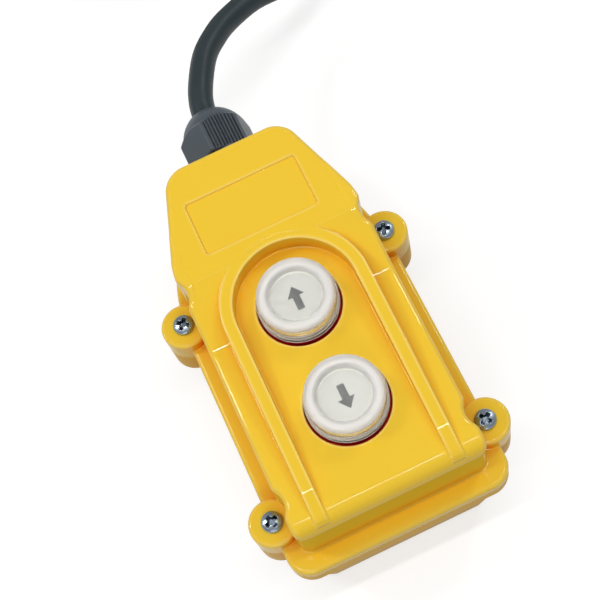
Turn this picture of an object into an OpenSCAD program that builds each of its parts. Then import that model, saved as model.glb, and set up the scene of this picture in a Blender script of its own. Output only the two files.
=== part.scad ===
// Two-button hoist remote control: a yellow pendant lying on its back.
// +Z points up out of the button panel, +Y runs along the body to the cable gland.
// The origin is under the middle of the pendant, on the surface it lies on.

/* [Housing] */
// Length from the flange's lower edge to the neck's end wall
housing_l = 113.4; // [108:0.1:120]
// Width of the body above the flange
body_w = 54.4; // [53:0.2:58]
// Height of the button panel above the flat back
panel_h = 47; // [46:0.5:52]
// Height of the joint between the two covers
parting_h = 25.5; // [24:0.5:27]
// Wall thickness of both covers
wall = 2.4; // [2:0.1:2.8]
// Thickness of the front cover's flange
front_flange_t = 3.7; // [3:0.1:4.5]
// Thickness of the rear cover's flange
rear_flange_t = 4.3; // [3.5:0.1:5]
// How far the flange stands out beyond the body's sides
flange_side_lip = 4.7; // [4:0.1:5.2]
// How far the flange stands out beyond the body's lower end
flange_end_lip = 5.6; // [4:0.1:6]
// How far the flange stands out beyond the neck
flange_neck_lip = 3.6; // [3:0.1:4]
// Corner radius of the flange
flange_r = 6.5; // [5:0.5:8]
// Rounding of the flange's upper edge
flange_edge_r = 1.2; // [0.6:0.1:1.6]
// Corner radius of the body's lower end
body_r = 3.5; // [3:0.1:5]
// Rounding of the body's upper side edges
edge_r = 1.5; // [0.8:0.1:2]
// Rounding between the panel and the lower end wall
bend_r = 4.3; // [3.5:0.1:6]
// How far each side of the rear cover slopes in towards the back
back_taper = 7.3; // [5:0.1:9]
// How far the ends of the rear cover slope in towards the back
back_end_taper = 2.8; // [1.5:0.1:4]
// Step from the flange's rim in to the rear cover's side
back_lip = 1.1; // [0.6:0.1:1.6]

/* [Neck] */
// Width of the neck at its end wall
neck_end_w = 36; // [34:0.2:40]
// Length over which the neck tapers
neck_l = 28.5; // [26:0.1:31]
// Height of the neck's top above the button panel
neck_rise = 6; // [4:0.1:7]
// Corner radius at the neck's end
neck_r = 5; // [3:0.1:6]
// Wall thickness behind the gland
neck_wall = 3; // [2.5:0.1:4]
// Length of the bare label recess, across the neck
label_l = 32.9; // [26:0.1:36]
// Width of the label recess, along the neck
label_w = 16.6; // [12:0.1:18]
// Depth of the label recess
label_depth = 0.5; // [0.2:0.1:0.8]
// Distance from the label recess to the neck's end wall
label_gap = 11.8; // [9:0.1:13]

/* [Arch] */
// Inner radius of the arched rib round the buttons
arch_r = 17.1; // [16:0.1:18]
// Width of the rib
rib_w = 3.7; // [3:0.1:4.2]
// Height of the rib where it bends down at the lower end
rib_low = 1.5; // [1:0.1:3]
// Length of the level part of the rib below the arch's centre line
rib_level = 5.2; // [2:0.1:8]
// How far the rib's lower end stands out of the body's bend
rib_end_h = 0.8; // [0.4:0.1:1.2]
// Distance from the rib's bend to the body's lower end wall
rib_bend_gap = 8.5; // [8:0.1:10]
// Distance from the upper button's centre to the top of the side ramps
ramp_top = 17.2; // [15:0.1:18]
// Distance from the upper button's centre down to the foot of the side ramps
ramp_foot = 2.3; // [1:0.1:6]
// Width of the ridge outside each ramp
ridge_w = 3.9; // [3:0.1:4.5]
// Length over which each ridge drops to the ramp
ridge_drop = 7; // [5:0.1:8]

/* [Screw ears] */
// Distance of the cover screws outside the body's sides
screw_out = 3.8; // [3.2:0.1:4.5]
// Distance between the screws along the housing
screw_pitch = 61.8; // [58:0.2:66]
// Distance from the flange's lower edge to the lower screws
screw_end = 16.2; // [13:0.1:18]
// Outer diameter of the ears
ear_d = 13.2; // [12:0.1:14]
// Height of the front ears above the flange
ear_rise = 4; // [3:0.1:5]
// Length of the rear ears below the joint
ear_drop = 10; // [9:0.1:12]
// Rounding of the ears' edges
ear_edge_r = 0.9; // [0.4:0.1:1.4]
// Radius of the hollow in the body beside each screw
scallop_r = 5.3; // [4.5:0.1:5.6]
// Diameter of the cover screws
screw_d = 3; // [2.5:0.1:3.5]
// Length of the cover screws under the head
screw_l = 14.5; // [12:0.5:16]
// Diameter of the screw heads
head_d = 5.9; // [5:0.1:6.5]
// Height of the screw heads
head_h = 2; // [1.5:0.1:2.5]
// Diameter of the threaded inserts
insert_d = 4.8; // [4.4:0.1:5.4]
// Length of the threaded inserts
insert_l = 7; // [5:0.5:8]

/* [Buttons] */
// Distance between the two buttons
button_pitch = 30.4; // [29:0.1:33]
// Distance from the flange's lower edge to the lower button
button_end = 32.5; // [30:0.1:34]
// Diameter of the holes in the panel
hole_d = 23.1; // [22:0.1:24]
// Height of the boots' top ring above the panel
boot_rise = 8.3; // [7:0.1:10]
// Diameter of the boots' top ring
boot_d = 21.2; // [20:0.1:22]
// Diameter of the boots' flange under the panel
boot_flange_d = 26.6; // [25:0.1:28.4]
// Thickness of the boots' flange
boot_flange_t = 1.4; // [1:0.1:2]
// Wall thickness of the boots
boot_t = 0.8; // [0.5:0.1:1.2]
// Diameter of the sunk middle of the boots
dish_d = 14.4; // [13:0.1:15]
// Depth of the sunk middle below the boots' top ring
dish_depth = 2.4; // [1.5:0.1:3]
// Travel of the buttons
travel = 3.5; // [2.5:0.1:4]
// Diameter of the white caps
cap_d = 18.8; // [18.5:0.1:19]
// Wall thickness of the caps
cap_t = 1.2; // [1:0.1:1.6]
// Thickness of the legend discs in the caps
legend_t = 0.8; // [0.5:0.1:1]

/* [Contact block] */
// Width of the contact block
block_w = 32; // [31:0.2:33]
// Height of the contact block
block_h = 30; // [28:0.5:32]
// How far the block reaches beyond each button's centre
block_end = 14.8; // [14.5:0.1:16]
// Depth of the guide wells for the caps
well_depth = 10.2; // [9.5:0.1:11]
// Thickness of the web that guides the plungers
web_t = 2.5; // [2:0.1:3]
// Diameter of the plunger stems
stem_d = 5.2; // [4.6:0.1:5.6]
// Length of the moving bridge contacts
bridge_l = 16; // [14:0.2:16.4]
// Width of the contact strips
strip_w = 4.4; // [3.6:0.1:5]
// Thickness of the contact strips
strip_t = 1; // [0.6:0.1:1.2]
// Gap left between the contacts at full press
press_gap = 0.1; // [0.1:0.05:0.3]
// Distance of the terminal screws from the middle of the block
terminal_x = 12.2; // [12:0.1:12.6]
// Distance of the block's fixing screws from the middle
lug_x = 20.2; // [19.8:0.1:20.6]
// Diameter of the return spring
spring_d = 8.4; // [7.6:0.1:9]
// Diameter of the return spring's wire
spring_wire = 0.7; // [0.5:0.05:0.9]
// Number of turns of the return spring
spring_turns = 6; // [4:1:8]

/* [Gland] */
// Height of the gland's axis above the flat back
gland_h = 37; // [36.5:0.1:38]
// Width of the gland's hexagon across its flats
hex_af = 19; // [18:0.1:20]
// Turn of the hexagon about the gland's axis
hex_turn = 15.5; // [0:0.5:30]
// Diameter of the gland's thread
thread_d = 15.2; // [14:0.1:16]
// Length of the thread inside the housing
thread_l = 9; // [8:0.5:12]
// Thickness of the sealing washer under the gland
washer_t = 0.8; // [0.5:0.1:1.2]
// Length of the hexagon collar
collar_l = 2.6; // [2:0.1:4]
// Length of the dome nut
nut_l = 17; // [15:0.5:19]
// Number of grip ribs on every second flat
grip_ribs = 11; // [8:1:13]
// Depth of the grooves between the grip ribs
grip_depth = 0.35; // [0.2:0.05:0.5]
// Thickness of the lock nut inside the housing
locknut_t = 3.6; // [3:0.1:4.5]

/* [Cable] */
// Diameter of the cable
cable_d = 7.5; // [7:0.1:8]
// Length of cable jacket inside the housing
tail_l = 12; // [10:0.5:15]
// Diameter of the insulated cores
core_d = 2; // [1.6:0.1:2.4]
// Diameter of the stored coil at the middle of its turns
coil_d = 75; // [74:1:90]

/* [Hidden] */
$fn = 64;
// Steps in a quarter of an edge rounding
steps = 4;
// Clearance of parts that are assembled by hand
gap = 0.3;
// Running clearance of the plungers in their guides
slip = 0.1;
// Clearance of a screw in its thread
thread_gap = 0.05;
// How far a cutting shape reaches past what it cuts
past = 1;

// Small sizes of the covers
back_edge_r = 0.6;
back_corner_r = 2;
ear_floor = 1.2;
shoulder_r = 3;
gasket_w = 1.8;
gasket_t = 1.2;
gasket_in = -0.9;
// How far the root of each ridge reaches down into the body
ridge_root = 13.5;

// Small sizes of the boots: bead round the top, ridges of the skirt and their groove
boot_bead = 1.2;
boot_ridges = 3;
boot_ridge_out = 0.5;
boot_groove = 0.4;
skirt_gap = 0.1;

// Small sizes of the contact block and of what is in it
well_gap = 0.7;
strip_rise = 4.8;
rivet_t = 0.8;
rivet_r = 1.7;
pin_r = 1.5;
pin_l = 1.4;
collar_t = 1.5;
collar_out = 1.2;
chamber_gap = 0.6;
terminal_r = 2.9;
terminal_d = 2.8;
terminal_screw_l = 5.5;
terminal_head_d = 4.4;
small_head_h = 1.8;
lug_drop = 8;
lug_t = 3;
lug_r = 3.2;
lug_shift = 6;
lug_screw_d = 2.4;
lug_screw_l = 8.5;
lug_head_d = 4.6;

// Small sizes of the gland, and the dome of its nut: in from the flats, back from the end
bore_gap = 0.6;
seal_t = 2.3;
nut_lip = 2;
nut_cone = 4;
nut_edge = 1.4;
nut_dome = [[0.1, 5.8], [0.8, 4.4], [1.7, 2.7], [2.5, 1.5], [3.5, 0.7], [4.6, 0]];

// Places along the pendant
gland_reach = washer_t + collar_l + nut_l;
y_low = -(housing_l + gland_reach) / 2;
y_wall = y_low + housing_l;
y_gland = y_wall + gland_reach;
y_body = y_low + flange_end_lip;
y_shoulder = y_wall - neck_l;
y_down = y_low + button_end;
y_up = y_down + button_pitch;
y_screw_low = y_low + screw_end;
y_screw_high = y_screw_low + screw_pitch;
y_ramp_top = y_up + ramp_top;
y_ramp_foot = y_up - ramp_foot;
y_rib_bend = y_body + rib_bend_gap;
y_block_low = y_down - block_end;
y_block_high = y_up + block_end;
screw_span = body_w + 2 * screw_out;
neck_tan = (body_w - neck_end_w) / 2 / neck_l;
neck_turn = atan(neck_tan);

// Heights above the flat back
neck_h = panel_h + neck_rise;
flange_h = parting_h + front_flange_t;
ear_h = flange_h + ear_rise;
ceiling_h = panel_h - wall;
block_top = ceiling_h - boot_flange_t;
block_low = block_top - block_h;
well_floor = block_top - well_depth;
web_low = well_floor - web_t;
boot_top = panel_h + boot_rise;
cap_top = boot_top - boot_t - gap;
dish_h = boot_top - dish_depth;
legend_h = dish_h - boot_t - gap;
cap_low = well_floor + travel + well_gap;
strip_h = block_low + strip_rise;
bridge_h = strip_h + 2 * rivet_t + travel + press_gap;
lug_h = block_top - lug_drop;
core_h = strip_h - strip_t - core_d / 2 - 2 * gap;

// Corners of the housing's outline, set out from the body at its sides, ends and neck
function outline(side, low, high, neck) =
    let (s = neck / cos(neck_turn),
        hw = body_w / 2 + side,
        nw = neck_end_w / 2 + s - high * neck_tan,
        ys = y_wall - (hw - neck_end_w / 2 - s) / neck_tan)
    [[-hw, y_body - low], [hw, y_body - low], [hw, ys],
        [nw, y_wall + high], [-nw, y_wall + high], [-hw, ys]];

// The points of one rounded corner between the directions to its neighbours
function corner(a, b, c, r, n = steps) =
    let (u = (a - b) / norm(a - b), v = (c - b) / norm(c - b),
        half = acos(max(-1, min(1, u * v))) / 2,
        m = b + (u + v) / norm(u + v) * r / sin(half),
        d = b + u * r / tan(half) - m,
        start = atan2(d.y, d.x),
        turn = (cross(-u, v) > 0 ? 1 : -1) * (180 - 2 * half))
    [for (i = [0:n]) m + r * [cos(start + turn * i / n), sin(start + turn * i / n)]];
function rounded(pts, radii) =
    let (n = len(pts))
    [for (i = [0:n - 1]) each corner(pts[(i + n - 1) % n], pts[i], pts[(i + 1) % n], radii[i])];

// A ring of points at one height: outline distances, corner radii and the height
function ring(side, low, high, neck, radii, z) =
    [for (p = rounded(outline(side, low, high, neck), radii)) [p.x, p.y, z]];
// A ring round the flange, set in from its rim
function flange_ring(d, z) =
    ring(flange_side_lip - d, flange_end_lip - d, 0, flange_neck_lip - d, flange_radii(d), z);
function flange_radii(r) = [flange_r - r, flange_r - r, shoulder_r, neck_r - r, neck_r - r, shoulder_r];

// A closed solid skinned over rings that run upwards
module skin(rings) {
    n = len(rings[0]);
    m = len(rings);
    polyhedron(
        points = [for (r = rings) each r],
        faces = concat(
            [[for (i = [0:n - 1]) i]],
            [[for (i = [n - 1:-1:0]) (m - 1) * n + i]],
            [for (k = [0:m - 2], i = [0:n - 1])
                let (a = k * n + i, b = k * n + (i + 1) % n) each
                [[a, a + n, b + n], [a, b + n, b]]]));
}

// Values in rising order, without repeats
function sorted(v) = len(v) < 2 ? v :
    let (p = v[floor(len(v) / 2)])
    concat(sorted([for (x = v) if (x < p - 0.02) x]), [p], sorted([for (x = v) if (x > p + 0.02) x]));

// Half-width of the body at a place along it, with its rounded ends and the hollows at the screws
function arc_drop(t, r) = t >= r ? 0 : r - sqrt(max(0, r * r - (r - t) * (r - t)));
function scallop(y, ys) = abs(y - ys) >= scallop_r ? body_w :
    screw_span / 2 - sqrt(scallop_r * scallop_r - (y - ys) * (y - ys));
function end_half(y) =
    let (m = neck_end_w / 2 - neck_r * (1 - sin(neck_turn)) / cos(neck_turn), t = y - y_wall + neck_r)
    y > y_wall - neck_r * (1 - sin(neck_turn)) ? m + sqrt(max(0, neck_r * neck_r - t * t)) : body_w;
function half_w(y) = min(
    body_w / 2 - arc_drop(y - y_body, body_r),
    neck_end_w / 2 + (y_wall - y) * neck_tan,
    end_half(y), scallop(y, y_screw_low), scallop(y, y_screw_high));

// Height of the body's top at a place along it: end bend, panel, ramp and neck
function top_h(y) =
    y < y_ramp_foot ? panel_h - arc_drop(y - y_body, bend_r) :
    y < y_ramp_top ? panel_h + neck_rise * (y - y_ramp_foot) / (y_ramp_top - y_ramp_foot) :
    neck_h - arc_drop(y_wall - y, edge_r);

// One cross-section of the body, from its left foot over the top to its right foot
function section(y) =
    let (w = half_w(y), h = top_h(y))
    concat(
        [[-w, y, parting_h]],
        [for (i = [0:steps]) let (a = 90 * i / steps)
            [-w + edge_r * (1 - cos(a)), y, h - edge_r * (1 - sin(a))]],
        [for (i = [steps:-1:0]) let (a = 90 * i / steps)
            [w - edge_r * (1 - cos(a)), y, h - edge_r * (1 - sin(a))]],
        [[w, y, parting_h]]);
scallop_turn = acos((screw_span - body_w) / 2 / scallop_r);
section_places = sorted(concat(
    [for (a = [0:15:90]) y_body + bend_r * (1 - cos(a))],
    [for (s = [y_screw_low, y_screw_high], i = [-4:4]) s + scallop_r * sin(scallop_turn * i / 4)],
    [y_ramp_foot, y_ramp_top, y_shoulder],
    [for (a = [0:12:72]) y_wall - neck_r * (1 - cos(a))]));

// The ridge beside a ramp, from its foot on the ramp up to the neck
function ridge_section(y) =
    let (t = (y_ramp_top - y) / ridge_drop,
        w = half_w(y) - 0.02,
        h = top_h(y) - 0.4 * t + (neck_h - top_h(y)) * (1 - t * t * (3 - 2 * t)),
        low = panel_h - ridge_root,
        inner = body_w / 2 - ridge_w * (1 - 0.45 * t * t))
    concat(
        [[inner, y, low], [inner, y, h]],
        [for (i = [steps:-1:0]) let (a = 90 * i / steps)
            [w - edge_r * (1 - cos(a)), y, h - edge_r * (1 - sin(a))]],
        [[w, y, low]]);
module ridge() {
    places = concat([for (i = [5:-1:1]) y_ramp_top - ridge_drop * i / 5], [y_ramp_top, y_ramp_top + 0.8]);
    skin([for (y = places) [for (p = ridge_section(y)) p]]);
}

// Everything at the four screws, and at both hands
module at_screws() {
    for (x = [-1, 1], y = [y_screw_low, y_screw_high])
        translate([x * screw_span / 2, y, 0]) children();
}
module both_sides() {
    children();
    mirror([1, 0, 0]) children();
}
// The block's four fixing points, beside the ends of the two buttons
lug_places = [for (x = [-1, 1], y = [y_down - lug_shift, y_up + lug_shift]) [x * lug_x, y, 0]];

// A column with a rounded top edge
module ear(h, r = ear_edge_r) {
    rotate_extrude() {
        square([ear_d / 2 - r, h]);
        square([ear_d / 2, h - r]);
        translate([ear_d / 2 - r, h - r]) circle(r);
    }
}

// Plan of the arched rib, or of what lies inside it
module arch_plan(r) {
    translate([0, y_up]) circle(r);
    translate([-r, y_low]) square([2 * r, y_up - y_low]);
}
// Side view of the rib's top, as a solid across the body. It runs level, then slopes down to a
// line where it steepens, and follows the body's lower bend until it sinks into it.
module rib_profile() {
    m = [y_body + bend_r, panel_h - bend_r];
    end = [for (a = [12:12:60])
        m + (bend_r - past + rib_end_h * (60 - a) / 48) * [-sin(a), cos(a)]];
    rotate([90, 0, 90])
        linear_extrude(body_w, center = true)
            polygon(concat(
                [[y_ramp_top + rib_w, neck_h], [y_up + rib_level, neck_h],
                    [y_rib_bend, panel_h + rib_low]],
                end,
                [[end[len(end) - 1].x, m.y], [y_ramp_top + rib_w, m.y]]));
}

module front_shape() {
    skin([for (y = section_places) section(y)]);
    skin(concat(
        [flange_ring(0, parting_h)],
        [for (i = [0:steps]) let (a = 90 * i / steps)
            flange_ring(flange_edge_r * (1 - cos(a)), flange_h - flange_edge_r * (1 - sin(a)))]));
    both_sides() ridge();
    at_screws() translate([0, 0, parting_h]) ear(ear_h - parting_h);
}
// The hollow of the front cover, with a solid column left at each screw
module front_hollow() {
    difference() {
        union() {
            translate([0, 0, parting_h - past])
                linear_extrude(ceiling_h - parting_h + past)
                    polygon(outline(-wall, -wall, -neck_wall, -wall));
            translate([0, 0, parting_h])
                linear_extrude(neck_h - wall - parting_h)
                    intersection() {
                        polygon(outline(-wall - edge_r / 2, -wall, -neck_wall, -wall - edge_r / 2));
                        translate([-body_w / 2, y_ramp_top + rib_w + wall]) square([body_w, neck_l]);
                    }
        }
        at_screws() cylinder(r = scallop_r + wall, h = neck_h);
    }
}
module front_cover() {
    color("gold") difference() {
        union() {
            difference() {
                front_shape();
                translate([0, 0, panel_h]) linear_extrude(neck_rise + past) arch_plan(arch_r);
                front_hollow();
            }
            intersection() {
                rib_profile();
                translate([0, 0, ceiling_h + past]) linear_extrude(neck_rise + 2 * wall) difference() {
                    arch_plan(arch_r + rib_w);
                    arch_plan(arch_r);
                }
            }
            for (p = lug_places) translate([0, 0, lug_h] + p)
                cylinder(r = lug_r, h = ceiling_h + past - lug_h);
        }
        translate([-label_l / 2, y_wall - label_gap - label_w, neck_h - label_depth])
            cube([label_l, label_w, past]);
        for (y = [y_down, y_up]) translate([0, y, parting_h]) cylinder(d = hole_d, h = panel_h);
        translate([0, y_wall + past, gland_h]) rotate([90, 0, 0])
            cylinder(d = thread_d + gap, h = 2 * neck_wall);
        at_screws() cylinder(d = screw_d + 2 * slip, h = ear_h + past);
        for (p = lug_places) translate([0, 0, lug_h - past] + p)
            cylinder(d = lug_screw_d + 2 * thread_gap, h = lug_screw_l - lug_t + 2 * past);
    }
}

// The rear cover's inside and outside slope in towards the flat back
function back_ring(inset, z) =
    let (t = 1 - z / parting_h, d = inset + back_lip)
    ring(flange_side_lip - d - back_taper * t, flange_end_lip - d - back_end_taper * t,
        -inset - back_end_taper * t / 2, flange_neck_lip - d - back_taper * t, back_radii, z);
back_radii = [back_corner_r, back_corner_r, shoulder_r, back_corner_r, back_corner_r, shoulder_r];
module gasket_plan(side) {
    polygon(rounded(outline(side, side, side - neck_wall / 2, side), back_radii));
}
module rear_cover() {
    color("gold") difference() {
        union() {
            skin([back_ring(0, 0), back_ring(0, parting_h)]);
            skin([flange_ring(back_edge_r, parting_h - rear_flange_t),
                flange_ring(0, parting_h - rear_flange_t + back_edge_r), flange_ring(0, parting_h)]);
            at_screws() translate([0, 0, parting_h]) mirror([0, 0, 1]) ear(ear_drop);
        }
        difference() {
            skin([back_ring(wall, wall), back_ring(wall, parting_h - rear_flange_t),
                [for (p = back_ring(wall, parting_h)) [p.x, p.y, parting_h + past]]]);
            at_screws() cylinder(d = ear_d, h = parting_h + 2 * past);
            translate([0, 0, parting_h - rear_flange_t])
                linear_extrude(rear_flange_t + 2 * past) difference() {
                    square(4 * body_w, center = true);
                    polygon(outline(-wall, -wall, -neck_wall, -wall));
                }
        }
        translate([0, 0, parting_h - gasket_t]) linear_extrude(gasket_t + past) difference() {
            gasket_plan(gasket_in + gasket_w);
            gasket_plan(gasket_in);
        }
        at_screws() translate([0, 0, parting_h - insert_l - gap])
            cylinder(d = insert_d, h = insert_l + gap + past);
        at_screws() translate([0, 0, parting_h - ear_drop + ear_floor])
            cylinder(d = screw_d + 2 * slip, h = ear_drop);
    }
}
module cover_gasket() {
    color("dimgray") translate([0, 0, parting_h - gasket_t]) linear_extrude(gasket_t) difference() {
        gasket_plan(gasket_in + gasket_w);
        gasket_plan(gasket_in);
    }
}

// A pan-head screw pointing down, with a cross recess
module screw(d, l, hd, hh) {
    difference() {
        union() {
            translate([0, 0, -l]) cylinder(d = d, h = l);
            rotate_extrude() intersection() {
                translate([0, hh - hd]) circle(hd);
                square([hd / 2, hh]);
            }
        }
        for (a = [0, 90]) rotate(a) translate([-0.3 * hd, -0.07 * hd, 0.35 * hh])
            cube([0.6 * hd, 0.14 * hd, hh]);
    }
}
module cover_screws() {
    color("silver") at_screws() translate([0, 0, ear_h]) screw(screw_d, screw_l, head_d, head_h);
}
module screw_inserts() {
    color("goldenrod") at_screws() translate([0, 0, parting_h - insert_l - gap]) difference() {
        cylinder(d = insert_d, h = insert_l);
        translate([0, 0, -past]) cylinder(d = screw_d + 2 * thread_gap, h = insert_l + 2 * past);
    }
}

// A clear boot: flange under the panel, ridged skirt, thick top ring and thin sunk middle
module boot() {
    r = boot_d / 2;
    cap_r = cap_d / 2 + gap;
    skirt_low = ceiling_h - boot_flange_t;
    ridge_z = (boot_rise - 2.5 * boot_bead) / boot_ridges;
    rotate_extrude() polygon(concat(
        [[cap_r, skirt_low], [boot_flange_d / 2, skirt_low], [boot_flange_d / 2, ceiling_h],
            [r + skirt_gap, ceiling_h]],
        [for (i = [0:boot_ridges - 1]) let (z = panel_h + ridge_z * i) each [
            [r + skirt_gap, z], [r + boot_ridge_out, z + 0.35 * ridge_z],
            [r + boot_ridge_out, z + 0.6 * ridge_z], [r - boot_groove, z + 0.85 * ridge_z]]],
        [for (a = [-30:30:90])
            [r - boot_bead + boot_bead * cos(a), boot_top - boot_bead + boot_bead * sin(a)]],
        [[dish_d / 2 + 0.75 * boot_bead, boot_top], [dish_d / 2 + 0.2, boot_top - 0.5],
            [dish_d / 2, dish_h], [0, dish_h], [0, dish_h - boot_t],
            [dish_d / 2 + boot_t / 2, dish_h - boot_t],
            [dish_d / 2 + boot_t, cap_top + gap], [cap_r - 0.4, cap_top + gap], [cap_r, cap_top - 0.4]]));
}
// A white cap: a cup that is open below, with a sunk seat for the legend disc
module cap() {
    rim = dish_d / 2 + boot_t + gap;
    rotate_extrude() polygon([
        [0, legend_h - legend_t], [dish_d / 2, legend_h - legend_t], [dish_d / 2, legend_h],
        [rim, legend_h], [rim, cap_top - 0.3], [rim + 0.2, cap_top], [cap_d / 2 - 0.5, cap_top],
        [cap_d / 2, cap_top - 0.5], [cap_d / 2, cap_low], [cap_d / 2 - cap_t, cap_low],
        [cap_d / 2 - cap_t, legend_h - legend_t - cap_t], [0, legend_h - legend_t - cap_t]]);
}
module legend() {
    translate([0, 0, legend_h - legend_t]) cylinder(d = dish_d - 0.1, h = legend_t);
}

// The stem under a cap, with a collar that stops against the web, and a pin for the bridge
module plunger() {
    rotate_extrude() polygon([
        [0, bridge_h - rivet_t - pin_l], [pin_r, bridge_h - rivet_t - pin_l], [pin_r, bridge_h + strip_t],
        [stem_d / 2, bridge_h + strip_t], [stem_d / 2, web_low - gap - collar_t],
        [stem_d / 2 + collar_out, web_low - gap - collar_t], [stem_d / 2 + collar_out, web_low - gap],
        [stem_d / 2, web_low - gap], [stem_d / 2, legend_h - legend_t - cap_t],
        [0, legend_h - legend_t - cap_t]]);
}
rivet_x = bridge_l / 2 - rivet_r - gap;
module bridge() {
    difference() {
        translate([-bridge_l / 2, -strip_w / 2, bridge_h]) cube([bridge_l, strip_w, strip_t]);
        cylinder(r = pin_r + thread_gap, h = 2 * bridge_h);
    }
    for (x = [-1, 1]) translate([x * rivet_x, 0, bridge_h - rivet_t]) cylinder(r = rivet_r, h = rivet_t);
}

// Tubes swept along a path of points
function unit(v) = v / norm(v);
function tangent(p, i) = unit(p[min(i + 1, len(p) - 1)] - p[max(i - 1, 0)]);
module tube(path, d, sides, lean = [0, 0, 1]) {
    rings = [for (i = [0:len(path) - 1])
        let (t = tangent(path, i), u = unit(cross(t, lean)), v = cross(t, u))
        [for (k = [0:sides - 1]) let (a = 360 * (k + 0.5) / sides)
            path[i] + d / 2 * (cos(a) * u + sin(a) * v)]];
    skin(rings);
}
// A smooth path through hand-set points, with k steps between neighbours
function through(a, b, c, d, t) =
    0.5 * (2 * b + (c - a) * t + (2 * a - 5 * b + 4 * c - d) * t * t + (3 * b - a - 3 * c + d) * t * t * t);
function smooth(p, k) =
    let (n = len(p))
    concat([for (i = [0:n - 2], j = [0:k - 1])
        through(p[max(i - 1, 0)], p[i], p[i + 1], p[min(i + 2, n - 1)], j / k)], [p[n - 1]]);

module spring() {
    r = (spring_d - spring_wire) / 2;
    low = well_floor + spring_wire / 2;
    high = legend_h - legend_t - cap_t - spring_wire / 2;
    turn_steps = 14;
    n = spring_turns * turn_steps;
    path = [for (i = [0:n])
        let (a = 360 * i / turn_steps, f = max(0, min(1, (i - turn_steps / 2) / (n - turn_steps))))
        [r * cos(a), r * sin(a), low + (high - low) * f]];
    tube(path, spring_wire, 6);
}

// The moulded contact block, with a guide well and a contact chamber under each button
strip_from = rivet_x - rivet_r - gap;
strip_l = terminal_x + terminal_r - strip_from;
module contact_block() {
    color("darkslategray") difference() {
        union() {
            translate([-block_w / 2, y_block_low, block_low])
                cube([block_w, y_block_high - y_block_low, block_h]);
            for (p = lug_places) translate([0, 0, lug_h - lug_t]) {
                translate(p) cylinder(r = lug_r, h = lug_t);
                translate([min(p.x, 0), p.y - lug_r, 0]) cube([abs(p.x), 2 * lug_r, lug_t]);
            }
        }
        for (y = [y_down, y_up]) translate([0, y, 0]) {
            translate([0, 0, well_floor]) cylinder(r = cap_d / 2 + gap, h = well_depth + past);
            cylinder(d = stem_d + 2 * slip, h = block_top);
            translate([-bridge_l / 2 - chamber_gap, -strip_w / 2 - chamber_gap, strip_h - strip_t])
                cube([bridge_l + 2 * chamber_gap, strip_w + 2 * chamber_gap, web_low - strip_h + strip_t]);
            cylinder(r = stem_d / 2 + collar_out + chamber_gap, h = web_low);
            both_sides() {
                translate([terminal_x, 0, block_low - past])
                    cylinder(r = terminal_r, h = strip_h - strip_t - block_low + past);
                translate([terminal_x, -core_d / 2 - slip, block_low - past])
                    cube([block_w, core_d + 2 * slip, strip_h - strip_t - block_low + past]);
                translate([terminal_x, 0, 0])
                    cylinder(d = terminal_d + 2 * thread_gap, h = strip_h + terminal_screw_l);
                translate([strip_from, -strip_w / 2, strip_h - strip_t]) cube([strip_l, strip_w, strip_t]);
            }
        }
        for (p = lug_places) translate(p) cylinder(d = lug_screw_d + 2 * gap, h = block_top);
    }
}
// A pair of fixed contact strips, each under one end of the bridge and out to a terminal
module contacts() {
    both_sides() {
        difference() {
            translate([strip_from, -strip_w / 2, strip_h - strip_t]) cube([strip_l, strip_w, strip_t]);
            translate([terminal_x, 0, 0]) cylinder(d = terminal_d + 2 * thread_gap, h = strip_h + past);
        }
        translate([rivet_x, 0, strip_h]) cylinder(r = rivet_r, h = rivet_t);
    }
}
module terminal_screws() {
    color("silver") for (y = [y_down, y_up]) translate([0, y, 0]) both_sides()
        translate([terminal_x, 0, strip_h - strip_t]) mirror([0, 0, 1])
            screw(terminal_d, terminal_screw_l, terminal_head_d, small_head_h);
}
module block_screws() {
    color("silver") for (p = lug_places) translate([0, 0, lug_h - lug_t] + p)
        mirror([0, 0, 1]) screw(lug_screw_d, lug_screw_l, lug_head_d, small_head_h);
}

// What follows is built along the gland's axis, from the outside of the neck's wall
module along_gland() {
    translate([0, y_wall, gland_h]) rotate([-90, 0, 0]) children();
}
hex_start = hex_turn - 90;
// A hexagon whose every second flat may carry grooves
function grip_flat(k) =
    let (a = hex_start + 60 * k, half = hex_af / 2 * tan(30), p = 2 * half / (grip_ribs + 0.5),
        out = [cos(a), sin(a)], along = [-sin(a), cos(a)])
    k % 2 == 1 ? [hex_af / 2 * out - half * along] :
    [for (i = [0:grip_ribs]) let (t = -half + p * i) each concat(
        [hex_af / 2 * out + t * along, hex_af / 2 * out + (t + p / 2) * along],
        i == grip_ribs ? [] : [(hex_af / 2 - grip_depth) * out + (t + p / 2) * along,
            (hex_af / 2 - grip_depth) * out + (t + p) * along])];
hex_corner = hex_af / 2 / cos(30);
module gland_nut() {
    base = washer_t + collar_l;
    color("darkslategray") along_gland() translate([0, 0, base]) intersection() {
        linear_extrude(nut_l) polygon([for (k = [0:5]) each grip_flat(k)]);
        rotate_extrude() polygon(concat(
            [[thread_d / 2, slip], [hex_corner - nut_edge, slip], [hex_corner, nut_edge + slip],
                [hex_corner, nut_l - nut_dome[0].y - 1.7]],
            [for (p = nut_dome) [hex_af / 2 - p.x, nut_l - p.y]],
            [[cable_d / 2 + gap, nut_l], [cable_d / 2 + gap, nut_l - nut_lip],
                [thread_d / 2, nut_l - nut_lip - nut_cone]]));
    }
}
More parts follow.
